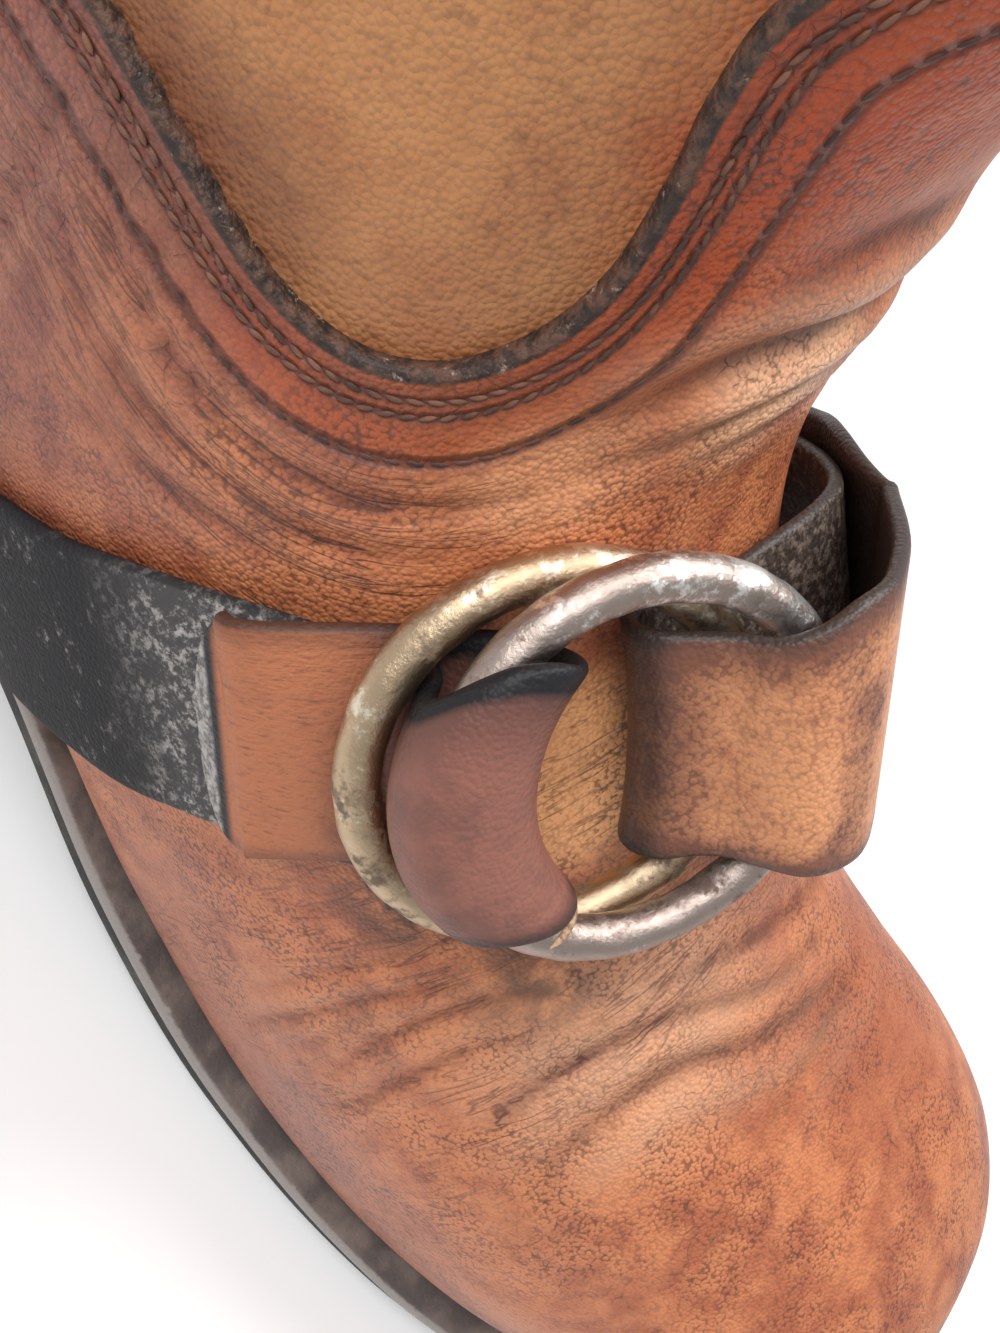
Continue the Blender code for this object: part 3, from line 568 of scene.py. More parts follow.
def upper_at(v, u):
    """Outer face of the vamp at section row v and column u.

    u runs from -1 at the lateral featherline over 0 at the ridge to +1 at the
    medial one. Each quarter is part of a superellipse from the ridge to the
    side point and from there to the featherline or the middle of the back.
    """
    v, u = np.broadcast_arrays(np.asarray(v, float), np.asarray(u, float))
    row = section_values(v)
    share = np.clip(row["share"], 0, 1)
    lateral, medial = feather(-1, share), feather(1, share)
    back = np.stack([row["back_x"], 0 * v, row["back_z"]], -1)
    loop = (v > HEEL_ROW)[..., None]
    middle = np.where(loop, back, (lateral + medial) / 2)
    foot = np.where(loop, back, np.where((u < 0)[..., None], lateral, medial))
    centre_y = np.where(v > HEEL_ROW, 0, 0.5 * middle[..., 1])
    side_y = centre_y + np.where(u < 0, -row["lateral"], row["medial"])
    outward = np.where(u < 0, -1.0, 1.0)
    bulge = np.maximum(outward * (side_y - foot[..., 1]), LEAST_BULGE)
    side_y = np.where(v > HEEL_ROW, side_y, foot[..., 1] + outward * bulge)
    power = 2 / row["round"]
    turn = np.pi * np.abs(u)
    high = np.abs(u) <= 0.5
    angle = np.where(high, turn, turn - np.pi / 2)
    cosine = np.clip(np.cos(angle), 0, 1) ** power
    sine = np.clip(np.sin(angle), 0, 1) ** power
    y = np.where(high, row["ridge_y"] + (side_y - row["ridge_y"]) * sine,
                 foot[..., 1] + (side_y - foot[..., 1]) * cosine)
    level = row["level"]
    rise = np.where(high, level + (1 - level) * cosine, level * (1 - sine))
    start = np.where(high[..., None], middle + (foot - middle) * sine[..., None], foot)
    x = start[..., 0] + (row["top_x"] - start[..., 0]) * rise
    z = start[..., 2] + (row["top_z"] - start[..., 2]) * rise
    p = np.stack([x, y, z], -1)
    rim = np.where((u < 0)[..., None], feather(-1, share * np.abs(u)), feather(1, share * np.abs(u)))
    keep = smooth(0, 1, v)[..., None]
    return swing(rim + (p - rim) * keep)


def unit(vectors):
    """Vectors divided by their length."""
    return vectors / np.linalg.norm(vectors, axis=-1, keepdims=True)


def surface_frame(v, u):
    """Point of the upper, its changes with row and column, and its outward normal."""
    v, u = np.asarray(v, float), np.asarray(u, float)
    dv = (upper_at(v + FRAME_STEP, u) - upper_at(v - FRAME_STEP, u)) / (2 * FRAME_STEP)
    du = (upper_at(v, u + FRAME_STEP) - upper_at(v, u - FRAME_STEP)) / (2 * FRAME_STEP)
    return upper_at(v, u), dv, du, unit(np.cross(du, dv))


def nearest(points, line):
    """Distance from each point to the samples of a line, and the number of the nearest one."""
    far = np.empty(len(points))
    which = np.empty(len(points), int)
    for start in range(0, len(points), POINTS_AT_ONCE):
        block = slice(start, start + POINTS_AT_ONCE)
        d = np.linalg.norm(points[block, None] - line[None], axis=2)
        which[block] = d.argmin(1)
        far[block] = d.min(1)
    return far, which


def upper_sheet(rows, columns):
    """Grid on the vamp's face: rows, columns, points, outward normals and vertex numbers.

    From the heel row on, the first and last column meet in one seam; on the
    featherline and at the collar the normals are turned level.
    """
    v, u = np.meshgrid(rows, columns, indexing="ij")
    points = upper_at(v, u)
    normal = unit(np.cross(np.gradient(points, axis=1), np.gradient(points, axis=0)))
    closed = rows >= HEEL_ROW
    seam = unit(normal[closed, 0] + normal[closed, -1])
    normal[closed, 0] = seam
    normal[closed, -1] = seam
    on_rim = (v == 0) | ((np.abs(u) == 1) & (v < HEEL_ROW)) | (v == rows[-1])
    normal = np.where(on_rim[..., None], unit(normal * np.array([1, 1, 0])), normal)
    index = np.arange(v.size).reshape(v.shape)
    index[closed, -1] = index[closed, 0]
    return v, u, points, normal, index


edge_rows = np.array(EDGE_HALF + tuple((v, -u) for v, u in EDGE_HALF[-2::-1]), float)
edge_rows = through(edge_rows, EDGE_STEPS)
edge_points, _, _, edge_normal = surface_frame(*edge_rows.T)
edge_along = unit(np.gradient(edge_points, axis=0))
edge_side = np.cross(edge_along, edge_normal)
edge_length = run_length(edge_points)

upper_v, upper_u, vamp_face, vamp_normal, upper_index = upper_sheet(UPPER_ROWS, UPPER_COLUMNS)
flat_points = vamp_face.reshape(-1, 3)
edge_far, edge_which = nearest(flat_points, edge_points)
offset = np.sum((flat_points - edge_points[edge_which]) * edge_side[edge_which], 1)
from_edge = (edge_far * np.sign(offset)).reshape(upper_v.shape)
along_edge = edge_length[edge_which].reshape(upper_v.shape)

fold_height = np.zeros(len(flat_points))
fold_shade = np.zeros(len(flat_points))
ridge_rub_and_highlight = np.zeros(len(flat_points))
for _, depth, half_width, route in FOLDS:
    line_rows = through(route, FOLD_STEPS)
    line = even(upper_at(*line_rows.T), len(line_rows))
    close = np.linalg.norm(flat_points - line.mean(0), axis=1) < FOLD_REACH
    far, which = nearest(flat_points[close], line)
    fade = np.sin(np.pi * (which + 0.5) / len(line)) ** FOLD_FADE
    trough = np.exp(-(far / half_width) ** 2)
    ridge = np.exp(-((far - RIDGE_AWAY * half_width) / (RIDGE_WIDTH * half_width)) ** 2)
    # Beside each trough, the fold's ridge gets a painted highlight that also stands for rubbing.
    rub_and_highlight = fade * ridge * min(1, depth / RIDGE_FULL_DEPTH)
    # Painted shade: a dark band along each fold's trough, kept as the fold attribute.
    shaded = fade * trough ** SHADE_NARROWING * min(1, depth / SHADE_FULL_DEPTH)
    ridge_rub_and_highlight[close] = np.maximum(ridge_rub_and_highlight[close], rub_and_highlight)
    fold_shade[close] = np.maximum(fold_shade[close], shaded)
    fold_height[close] += depth * fade * (FOLD_RIDGE * ridge - trough)
fold_height = fold_height.reshape(upper_v.shape)
wave = sum(np.sin(down * upper_v + around * upper_u + start) for down, around, start in WAVES)
wave = wave / len(WAVES)
loose = smooth(*LOOSE_FROM_ROW, upper_v) * (1 - smooth(*LOOSE_TO_ROW, upper_v))
loose = loose * (1 - smooth(*LOOSE_TO_COLUMN, np.abs(upper_u)))
for _, rise, row, column, rows, columns in SWELLS:
    fold_height += rise * np.exp(-((upper_v - row) / rows) ** 2 - ((upper_u - column) / columns) ** 2)
vamp_height = (fold_height + SWELL * wave) * loose
height = vamp_height - RECESS * (1 - smooth(RECESS_FROM, RECESS_TO, from_edge))
upper_points = vamp_face + vamp_normal * height[..., None]

VAMP_ORANGE = (0.62, 0.215, 0.09, 1)
VAMP_BROWN = (0.42, 0.118, 0.052, 1)
VAMP_RED = (0.42, 0.075, 0.018, 1)
VAMP_PURPLE = (0.24, 0.07, 0.055, 1)
VAMP_PINK = (0.4, 0.155, 0.105, 1)
SHAFT_TAN = (0.5, 0.225, 0.088, 1)
SHAFT_BROWN = (0.36, 0.125, 0.045, 1)
SHAFT_PAINTED_SHADE = (0.15, 0.044, 0.022, 1)
PAINTED_SHADE_AND_GRAIN_DARK = (0.1, 0.03, 0.02, 1)
PALE_RUB_AND_HIGHLIGHT = (0.72, 0.4, 0.24, 1)
RING_SHADOW_BLACK = (0.05, 0.035, 0.03, 1)
EDGE_BLACK = (0.035, 0.022, 0.018, 1)
EDGE_BROWN = (0.12, 0.058, 0.038, 1)
EDGE_DUST = (0.34, 0.25, 0.2, 1)
GRAIN_SIZE = 0.6
GRAIN_BEND = (1.5, 0.3)
CLOUD_SIZE = 24
MOTTLE_SIZE = 6
FINE_SIZE = 1.7
CLOSE_SEAMS = (2.6, 4.2)
FAR_SEAM = 9.0
HAIR_WIDTH = 0.035
TINTS_AND_PAINTED_LIGHT = (
    # colour, place in millimetres, full within, none beyond, share
    # painted highlights: a bright patch below the U and one on the front of the ankle
    ((0.88, 0.4, 0.2, 1), (98, -21, 126), 3, 11, 0.75),
    ((0.98, 0.54, 0.31, 1), (101, 1, 138), 5, 15, 1.05),
    # painted light on the leather seen through the rings, which lies in the straps' shadow
    ((1.0, 0.48, 0.21, 1), (127, -15.5, 102), 8, 17, 1.1),
    ((0.46, 0.06, 0.004, 1), (92, -6, 160), 8, 28, 1.0),
    # painted highlight, in the pale of rubbed leather, on the lit front of the vamp
    (PALE_RUB_AND_HIGHLIGHT, (164, -15, 80), 8, 30, 0.6),
    # painted shade on the lateral back of the ankle and on the medial front of the vamp
    (SHAFT_PAINTED_SHADE, (66, -36, 129), 3, 13, 0.5),
    (VAMP_BROWN, (196, 32, 75), 10, 32, 0.8),
    ((0.4, 0.13, 0.05, 1), (86, -29, 130), 2, 14, 0.4),
)
# Painted shadow of the rings on the vamp just below them, blotchy.
RING_SHADOWS = (
    # place in millimetres, full within, none beyond, share
    ((130, -32, 83), 2, 12, 1.0),
    ((147, -22, 84), 3, 15, 0.7),
)


def pits(place):
    """1 in the fine pores where pebbles of the grain meet, 0 on the pebbles."""
    return place.bent(*GRAIN_BEND).cells(GRAIN_SIZE).rise(0.52, 0.74)


def grain(place):
    """Height of the grain: rounded pebbles that meet in fine valleys."""
    return place.noise(0.8, 3) * 0.08 - place.bent(*GRAIN_BEND).cells(GRAIN_SIZE) * 0.2


upper_finish, shader, place = new_finish("upper leather", coat_roughness=0.35, specular_ior_level=0.36)
edge = place.attribute("edge")
fold = place.attribute("fold")
column = place.attribute("column")
along = place.attribute("along")
forward = place.part(0)
on_vamp = edge.rise(-0.2, 0.3)
cloud = place.noise(CLOUD_SIZE, 3, 0.55)
mottle = place.noise(MOTTLE_SIZE, 4, 0.6)
fine = place.noise(FINE_SIZE, 4, 0.65)
vamp = (0.6 * cloud + 0.5 * mottle).rise(0.44, 0.68).colours(VAMP_ORANGE, VAMP_BROWN)
under_edge = edge.rise(13, 6) * forward.rise(58, 76)
vamp = (under_edge * (0.65 + 0.5 * mottle)).colours(vamp, VAMP_RED)
# Towards the heel the vamp turns purple and darker: partly its tone, partly painted shade on the back, which
# faces away from the lights.
behind = forward.rise(92, 52)
vamp = (behind * (0.5 + 0.7 * mottle)).colours(vamp, VAMP_PURPLE)
low_side = column.rise(-0.38, -0.6) * forward.rise(100, 130)
vamp = (low_side * (0.4 + 0.7 * cloud)).colours(vamp, VAMP_PINK)
shaft = (0.7 * cloud + 0.4 * mottle).rise(0.4, 0.85).colours(SHAFT_TAN, SHAFT_BROWN)
# Painted shade: the shaft darkens beside the vamp's raw edge, where it lies sunk under that edge.
shade_beside_edge = edge.rise(-13, -1) * (0.25 + 0.55 * forward.rise(78, 58) + 0.4 * forward.rise(84, 94))
shaft = (shade_beside_edge * (0.5 + 0.7 * mottle)).colours(shaft, SHAFT_PAINTED_SHADE)
colour = on_vamp.colours(shaft, vamp)
# Each patch mixes its colour in; some are tone, others painted highlight or painted shade as marked in the
# table.
for tint, point, inner, outer, share in TINTS_AND_PAINTED_LIGHT:
    colour = (place.near(point, inner, outer) * (share * (0.35 + 1.2 * mottle))).colours(colour, tint)
along_u = place.joined(edge, along * 0.16)
hairs = along_u.noise(2.2, 3, 0.55, 0.6)
around_u = edge.band(8, 12, 24, 38) * column.band(-0.95, -0.8, -0.3, -0.2)
across_ball = place.joined(place.attribute("row") * 26, column * 22)
ball_hairs = across_ball.noise(2.4, 3, 0.55, 0.7)
at_ball = forward.band(112, 128, 165, 195) * place.noise(16, 2).rise(0.4, 0.6)
lines = (hairs.thin(HAIR_WIDTH) + 0.4 * hairs.rise(0.42, 0.32)) * around_u
lines = lines + (ball_hairs.thin(HAIR_WIDTH) + 0.4 * ball_hairs.rise(0.42, 0.32)) * at_ball
crackle = place.bent(2.5, 2).cells(3, "DISTANCE_TO_EDGE").rise(0.045, 0.01)
crackle = crackle * place.noise(12, 2).rise(0.5, 0.64) * on_vamp * fine.rise(0.35, 0.55)
# Painted shade: darker in the fold troughs, along the fine wrinkle lines and in their valleys; the crackle is
# dark cracks in the finish.
colour = (fold * (0.35 + 0.8 * mottle) + 0.6 * lines + 0.35 * crackle).colours(colour, PAINTED_SHADE_AND_GRAIN_DARK)
gaps = pits(place) * (0.25 + 0.75 * place.noise(14, 3).rise(0.4, 0.6))
colour = (gaps * (0.2 + 0.45 * on_vamp) + 0.3 * fine.rise(0.5, 0.75)).colours(colour, PAINTED_SHADE_AND_GRAIN_DARK)
# Painted highlight with rubbing: the fold ridges turn pale.
colour = (place.attribute("ridge") * (0.2 + 0.5 * mottle)).colours(colour, PALE_RUB_AND_HIGHLIGHT)
# Painted shadow of the rings: dark blotches on the vamp below them.
ring_shadow = sum(place.near(point, inner, outer) * share for point, inner, outer, share in RING_SHADOWS)
colour = (ring_shadow * mottle.rise(0.25, 0.55) * 0.95).colours(colour, RING_SHADOW_BLACK)
# Painted shade: darker in the stitch grooves, and painted shadow in bands beside the raw edge and the far
# seam.
sewn = edge.groove(FAR_SEAM, 0.2, 1)
close_sewn = sum(edge.groove(seam, 0.1, 0.7) for seam in CLOSE_SEAMS)
shadow = (edge.band(0.6, 1.6, 4.2, 6.2) + edge.band(7.6, 9, 9.2, 11.2)) * 0.35
colour = (shadow * (0.4 + mottle) + 0.5 * sewn + 0.65 * close_sewn).colours(colour, PAINTED_SHADE_AND_GRAIN_DARK)
raw = place.attribute("raw")
cut_edge = fine.rise(0.4, 0.62).colours(EDGE_BLACK, EDGE_BROWN)
cut_edge = place.noise(1.4, 5, 0.75).rise(0.6, 0.7).colours(cut_edge, EDGE_DUST)
colour = raw.rise(0.2, 0.7).colours(colour, cut_edge)
relief = grain(place) + hairs * around_u * 0.5 + ball_hairs * at_ball * 0.5 - crackle * 0.1 - lines * 0.12
relief = relief + place.noise(3.4, 2) * 0.22 - sewn * 0.5 - close_sewn * 0.3 + raw * fine * 0.5
gloss = 0.34 + 0.2 * mottle + 0.15 * fold + 0.1 * raw
dress(shader, colour, gloss, relief, coat_weight=0.22 * cloud.rise(0.4, 0.7))

upper_attributes = {"edge": from_edge, "along": along_edge, "fold": fold_shade, "ridge": ridge_rub_and_highlight,
                    "row": upper_v, "column": upper_u}
upper = add_piece("upper_leather", upper_points, grid_quads(upper_index), upper_finish, upper_attributes)
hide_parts("upper")

# Raw edge of the vamp and counter: the cut leather, burnished dark by hand and wear,
# standing as a small wall above the shaft all the way round.
RAW_EDGE = (
    # away from the edge over the vamp, height over the vamp's face, share of the raw look
    (2.7, -0.25, 0), (2.1, 0.06, 0), (1.4, 0.14, 0), (0.9, 0.16, 0.3), (0.4, 0.12, 1), (0, -0.08, 1),
    (-0.25, -0.5, 1), (-0.3, -1.1, 1), (-0.25, -1.7, 1), (-0.1, -2.4, 1),
)
RAW_EDGE_REACH = 2.5

beside_it = np.abs(from_edge.reshape(-1)) < RAW_EDGE_REACH
which = nearest(edge_points, flat_points[beside_it])[1]
edge_lift = vamp_height.reshape(-1)[beside_it][which]
profile = np.array(RAW_EDGE)
raw_points = edge_points[:, None] + profile[:, 0, None] * edge_side[:, None]
raw_points = raw_points + (profile[:, 1] + edge_lift[:, None])[..., None] * edge_normal[:, None]
spread = np.zeros(raw_points.shape[:2])
raw_attributes = {"edge": profile[:, 0] + spread, "along": edge_length[:, None] + spread,
                  "raw": profile[:, 2] + spread, "row": edge_rows[:, :1] + spread,
                  "column": edge_rows[:, 1:] + spread}
raw_index = np.arange(spread.size).reshape(spread.shape)
raw_edge = add_piece("vamp_raw_edge", raw_points, grid_quads(raw_index), upper_finish, raw_attributes)

# Stitching of the vamp: two close rows beside the raw edge and one row further out,
# waxed brown thread, each stitch a short rounded bar sunk in the leather.
STITCH_ROWS = (
    # away from the edge, pitch, length, radius, slant, lift, dark and light colour of the thread
    (CLOSE_SEAMS[0], 1.7, 1.6, 0.28, 0.22, -0.04, (0.06, 0.026, 0.017, 1), (0.22, 0.095, 0.055, 1)),
    (CLOSE_SEAMS[1], 1.7, 1.6, 0.28, -0.22, -0.04, (0.06, 0.026, 0.017, 1), (0.22, 0.095, 0.055, 1)),
    (FAR_SEAM, 2.0, 1.9, 0.27, 0.12, -0.12, (0.04, 0.02, 0.018, 1), (0.13, 0.055, 0.04, 1)),
)
STITCH_RINGS = 6
STITCH_SIDES = 6
STITCH_REACH = 12.0
STITCH_SMOOTHING = 5
STITCH_END = 8
NEWTON_STEPS = 5
COLUMN_LIMIT = 0.995
BLUNT = 1.02


def beside(rows, offset):
    """Rows and columns of a line moved sideways on the upper, by Newton steps."""
    rows = np.array(rows, float)
    p, dv, du, n = surface_frame(*rows.T)
    target = p + offset * np.cross(unit(np.gradient(p, axis=0)), n)
    for _ in range(NEWTON_STEPS):
        p, dv, du, n = surface_frame(*rows.T)
        miss = target - p
        a, b, c = np.sum(dv * dv, 1), np.sum(dv * du, 1), np.sum(du * du, 1)
        f, g = np.sum(dv * miss, 1), np.sum(du * miss, 1)
        det = a * c - b * b
        rows = rows + np.stack([(c * f - b * g) / det, (a * g - b * f) / det], 1)
        rows[:, 1] = np.clip(rows[:, 1], -COLUMN_LIMIT, COLUMN_LIMIT)
    return rows


def stitches(points, normals, pitch, length, radius, slant, lift):
    """Points and quads of a row of rounded bars slanting along a line, one for each pitch."""
    count = int(run_length(points)[-1] / pitch)
    both = even(np.hstack([points, normals]), count)
    centre, n = both[:, :3], unit(both[:, 3:])
    centre = centre + lift * n
    along = unit(np.gradient(centre, axis=0))
    along = unit(along + slant * np.cross(along, n))
    across = np.cross(along, n)
    s = np.linspace(-1, 1, STITCH_RINGS)[:, None]
    a = np.linspace(0, 2 * np.pi, STITCH_SIDES, endpoint=False)
    thick = radius * np.sqrt(BLUNT - s ** 2)
    bar = np.stack([s * length / 2 + 0 * a, thick * np.cos(a), thick * np.sin(a)], -1).reshape(-1, 3)
    points = (centre[:, None] + bar[:, 0, None] * along[:, None] + bar[:, 1, None] * across[:, None]
              + bar[:, 2, None] * n[:, None])
    quads = grid_quads(wrapped(STITCH_RINGS, STITCH_SIDES))
    first = len(bar) * np.arange(count)[:, None, None]
    return points.reshape(-1, 3), (quads + first).reshape(-1, 4)


def thread_finish(name, dark, light):
    """Twisted waxed thread, lighter where it is rubbed."""
    material, shader, place = new_finish(name)
    twist = place.noise(0.5, 3)
    dress(shader, place.noise(4, 3).rise(0.35, 0.7).colours(dark, light), 0.5 + 0.3 * twist, twist * 0.1)
    return material


def lying_on_upper(rows):
    """Points on the upper with its folds, and normals, at rows and columns."""
    p, _, _, n = surface_frame(*rows.T)
    near = np.flatnonzero(np.abs(from_edge.reshape(-1)) < STITCH_REACH)
    lift = vamp_height.reshape(-1)[near][nearest(p, flat_points[near])[1]]
    lift = np.pad(lift, STITCH_SMOOTHING // 2, "edge")
    mean = np.full(STITCH_SMOOTHING, 1 / STITCH_SMOOTHING)
    return p + n * np.convolve(lift, mean, "valid")[:, None], n


for number, (offset, pitch, length, radius, slant, lift, dark, light) in enumerate(STITCH_ROWS):
    rows = beside(edge_rows[STITCH_END:-STITCH_END], offset)
    points, quads = stitches(*lying_on_upper(rows), pitch, length, radius, slant, lift)
    name = f"vamp_stitches_{number + 1}"
    stitching = add_piece(name, points, quads, thread_finish(name, dark, light))

# Lining: thin tan leather glued against the inner face of shaft and vamp. Only its
# upper part shows, through the collar.
LINING_ROWS = np.linspace(0, len(SECTIONS) - 1, 130)
LINING_COLUMNS = np.linspace(-1, 1, 73)
LINING_TAN = (0.34, 0.2, 0.11, 1)
LINING_DARK = (0.12, 0.065, 0.04, 1)

_, _, lining_face, lining_normal, lining_index = upper_sheet(LINING_ROWS, LINING_COLUMNS)
lining_points = lining_face - (VAMP_STEP + SHAFT_WALL) * lining_normal
lining_finish, shader, place = new_finish("lining leather")
cloud = place.noise(30, 5)
dress(shader, cloud.rise(0.4, 0.7).colours(LINING_TAN, LINING_DARK), 0.6 + 0.3 * cloud, grain(place))
lining = add_piece("shaft_lining", lining_points, grid_quads(lining_index), lining_finish, facing=-1)

# Collar: the top edge of shaft and lining, turned over, glued and rounded by wear to
# a thin roll all round the opening.
COLLAR_RADIUS = 0.85
COLLAR_INSET = 2.2
COLLAR_POINTS = 160
COLLAR_SIDES = 12

collar_u = np.linspace(-1, 1, COLLAR_POINTS, endpoint=False)
collar_line = upper_at(len(SECTIONS) - 1.0, collar_u)
collar_along = unit(np.roll(collar_line, -1, 0) - np.roll(collar_line, 1, 0))
collar_out = unit(np.cross(np.array([0, 0, 1.0]), collar_along))
collar_out = collar_out * np.sign(np.sum(collar_out * (collar_line - collar_line.mean(0)), 1))[:, None]
around = np.linspace(0, 2 * np.pi, COLLAR_SIDES, endpoint=False)[:, None]
collar_points = collar_line[:, None] + (COLLAR_RADIUS * np.cos(around) - COLLAR_INSET) * collar_out[:, None]
collar_points = collar_points + COLLAR_RADIUS * np.sin(around) * np.array([0, 0, 1.0])
collar_finish, shader, place = new_finish("collar edge leather")
cloud = place.noise(6, 5)
dress(shader, cloud.rise(0.4, 0.7).colours(VAMP_BROWN, EDGE_BLACK), 0.45 + 0.3 * cloud, grain(place))
collar = add_ring("collar_edge", collar_points, collar_finish)

# Lateral strap: a leather strap sewn in at the lateral waist. It lies black and rubbed
# on the upper, goes under both rings and up through them, folds back over the steel
# ring and ends as a brown tail under the brass one.
STRAP_HALF_THICK = 0.95
STRAP_THICK = 2.0
BUCKLE_U = -0.177
STRAP_TILT = 0.12
STRAP_TILT_NEAR_U = 0.2
STRAP_TILT_FAR_U = 0.65
STRAP_CLEAR = 2.5 * GAP
STRAP_BEND_REACH = 16.0
REST_ROWS = 1.5
REST_ROW_SAMPLES = 61
REST_COLUMNS = 0.03
REST_COLUMN_SAMPLES = 5
REST_PAST_EDGE = 1.0
REST_ALONG = 2.0
RING_MEAN_RADIUS = 20.0
STRAP_LINE = ((-1, 7.9), (-0.5, 7.67), (-0.3, 7.34), (-0.17, 7.09), (0.15, 6.7), (0.5, 7.1), (1, 7.5))
STRAP_LINE_DEGREE = 4
STRAP_STEPS = 8
STRAP_EDGE_POINTS = 7
STRAP_FACE_POINTS = 17
LATERAL_RUN = (
    # column u, extra lift over resting on the upper, reach to the shaft side, to the toe side
    (-0.86, 0, 15.5, 17), (-0.8, 0, 15.5, 17), (-0.7, 0, 15.5, 17), (-0.6, 0, 15.5, 16.5),
    (-0.5, 0, 15.5, 15.5), (-0.45, 0, 15.5, 14.5), (-0.4, 0, 15.3, 13.8),
)
LATERAL_FOLD = (
    # along, height, reach to the shaft side, to the toe side, share of the ring's bend
    (-23.1, -3.4, 14.4, 13.2, 0), (-20, -1.8, 13.8, 12.8, 0), (-17, -0.3, 13.5, 12.5, 0),
    (-14.2, 0.9, 13.6, 12.5, 0), (-11.4, 3.6, 14, 12.5, 0.5), (-9.5, 7.2, 13.6, 12.4, 0.9),
    (-8.8, 10.8, 13.8, 12.4, 1), (-9.9, 14, 14.4, 12.8, 1), (-12.9, 15.7, 15.6, 13.2, 1),
    (-16.8, 15.9, 16.6, 13, 1), (-20, 14.6, 16, 12.5, 1), (-21.1, 11.5, 13, 12, 1),
    (-20.2, 8.5, 12, 11.5, 1), (-18.3, 5.2, 11.8, 11.5, 1), (-19.2, 1.9, 13, 11.5, 1),
    (-23.1, 0.2, 15, 12, 0.95),
)
LATERAL_TAIL = (
    (-0.372, 3.4, 15.5, 13), (-0.386, 3.1, 15.2, 13), (-0.397, 2.9, 13, 12), (-0.405, 2.8, 9, 9.2),
    (-0.41, 2.8, 5, 5.5),
)


def strap_row(u):
    """Section row of the strap's middle line at column u, a polynomial through the table."""
    line = np.array(STRAP_LINE, float)
    return np.polyval(np.polyfit(line[:, 0], line[:, 1], STRAP_LINE_DEGREE), u)


def strap_frame(u):
    """Point, direction to the medial side, width direction and normal on the strap's line."""
    p, _, _, n = surface_frame(strap_row(u), u)
    ahead, behind = u + FRAME_STEP, u - FRAME_STEP
    t = upper_at(strap_row(ahead), ahead) - upper_at(strap_row(behind), behind)
    t = unit(t - n * np.dot(t, n))
    tilt = STRAP_TILT * (1 - smooth(STRAP_TILT_NEAR_U, STRAP_TILT_FAR_U, abs(u - BUCKLE_U)))
    wide = unit(np.cross(t, n) + tilt * n)
    return p, t, wide, np.cross(wide, t)


def resting_height(u, shaft, toe):
    """Height over the strap line at which a flat strap of these reaches clears the upper."""
    p, t, wide, up = strap_frame(u)
    v = strap_row(u) + np.linspace(-REST_ROWS, REST_ROWS, REST_ROW_SAMPLES)
    columns = u + np.linspace(-REST_COLUMNS, REST_COLUMNS, REST_COLUMN_SAMPLES)
    q = upper_at(v[:, None], columns[None]) - p
    across = q @ wide
    under = (across > -shaft - REST_PAST_EDGE) & (across < toe + REST_PAST_EDGE)
    under &= np.abs(q @ t) < REST_ALONG
    return float((q[under] @ up).max(initial=0)) + STRAP_CLEAR + STRAP_THICK / 2


def run_rows(table):
    """Strap stations on the upper: point, width direction, reach to both sides, no bend."""
    rows = []
    for u, extra, shaft, toe in table:
        p, _, wide, up = strap_frame(u)
        lift = resting_height(u, shaft, toe) + extra
        rows.append(np.concatenate([p + lift * up, wide, [shaft, toe, 0]]))
    return rows


def fold_rows(table):
    """Strap stations in the plane that touches the upper under the buckle."""
    p, t, wide, up = strap_frame(BUCKLE_U)
    return [np.concatenate([p + along * t + rise * up, wide, [shaft, toe, bend]])
            for along, rise, shaft, toe, bend in table]


def strap_grid(rows, side):
    """Grid of a strap with rounded edges along its stations, bent across by the rings' arc.

    The cut is a flat top and bottom joined by half circles; side is +1 at the rings'
    left arcs and -1 at their right ones. Gives points, stations, places across, faces.
    """
    stations = np.linspace(0, len(rows) - 1, (len(rows) - 1) * STRAP_STEPS + 1)
    rows = through(rows, STRAP_STEPS)
    centre = rows[:, :3]
    along = unit(np.gradient(centre, axis=0))
    wide = unit(rows[:, 3:6] - along * np.sum(rows[:, 3:6] * along, 1)[:, None])
    up = np.cross(wide, along)
    turn = np.linspace(-np.pi / 2, np.pi / 2, STRAP_EDGE_POINTS)
    level = np.linspace(-1, 1, STRAP_FACE_POINTS)[1:-1]
    shaft, toe = (rows[:, k, None] - STRAP_HALF_THICK for k in (6, 7))
    over = (toe - shaft) / 2 - (toe + shaft) / 2 * level
    edge = STRAP_HALF_THICK * np.cos(turn)
    reach = np.concatenate([toe + edge, over, -shaft - edge, over[:, ::-1]], 1)
    rise = [np.sin(turn), 1 + 0 * level, -np.sin(turn), -1 + 0 * level]
    rise = STRAP_HALF_THICK * np.concatenate(rise)
    chord = np.clip(np.abs(reach), 0, STRAP_BEND_REACH)
    arc = RING_MEAN_RADIUS - np.sqrt(RING_MEAN_RADIUS ** 2 - chord ** 2)
    buckle_along = strap_frame(BUCKLE_U)[1]
    points = centre[:, None] + reach[..., None] * wide[:, None]
    points = points + (side * arc * rows[:, 8, None])[..., None] * buckle_along
    points = points + rise[:, None] * up[:, None]
    stations = np.broadcast_to(stations[:, None], reach.shape)
    return points, stations, reach, np.broadcast_to(rise / STRAP_HALF_THICK, reach.shape)


def add_strap(name, grid, material, more=None):
    """Strap piece with its attributes: station, place across, face, length, margins."""
    points, stations, reach, face = grid
    along = run_length(points.mean(1))[:, None] + 0 * reach
    attributes = {"station": stations, "across": reach, "face": face, "along": along,
                  "from_shaft": reach - reach.min(1, keepdims=True),
                  "from_toe": reach.max(1, keepdims=True) - reach, **(more or {})}
    return add_tube(name, points, material, attributes)


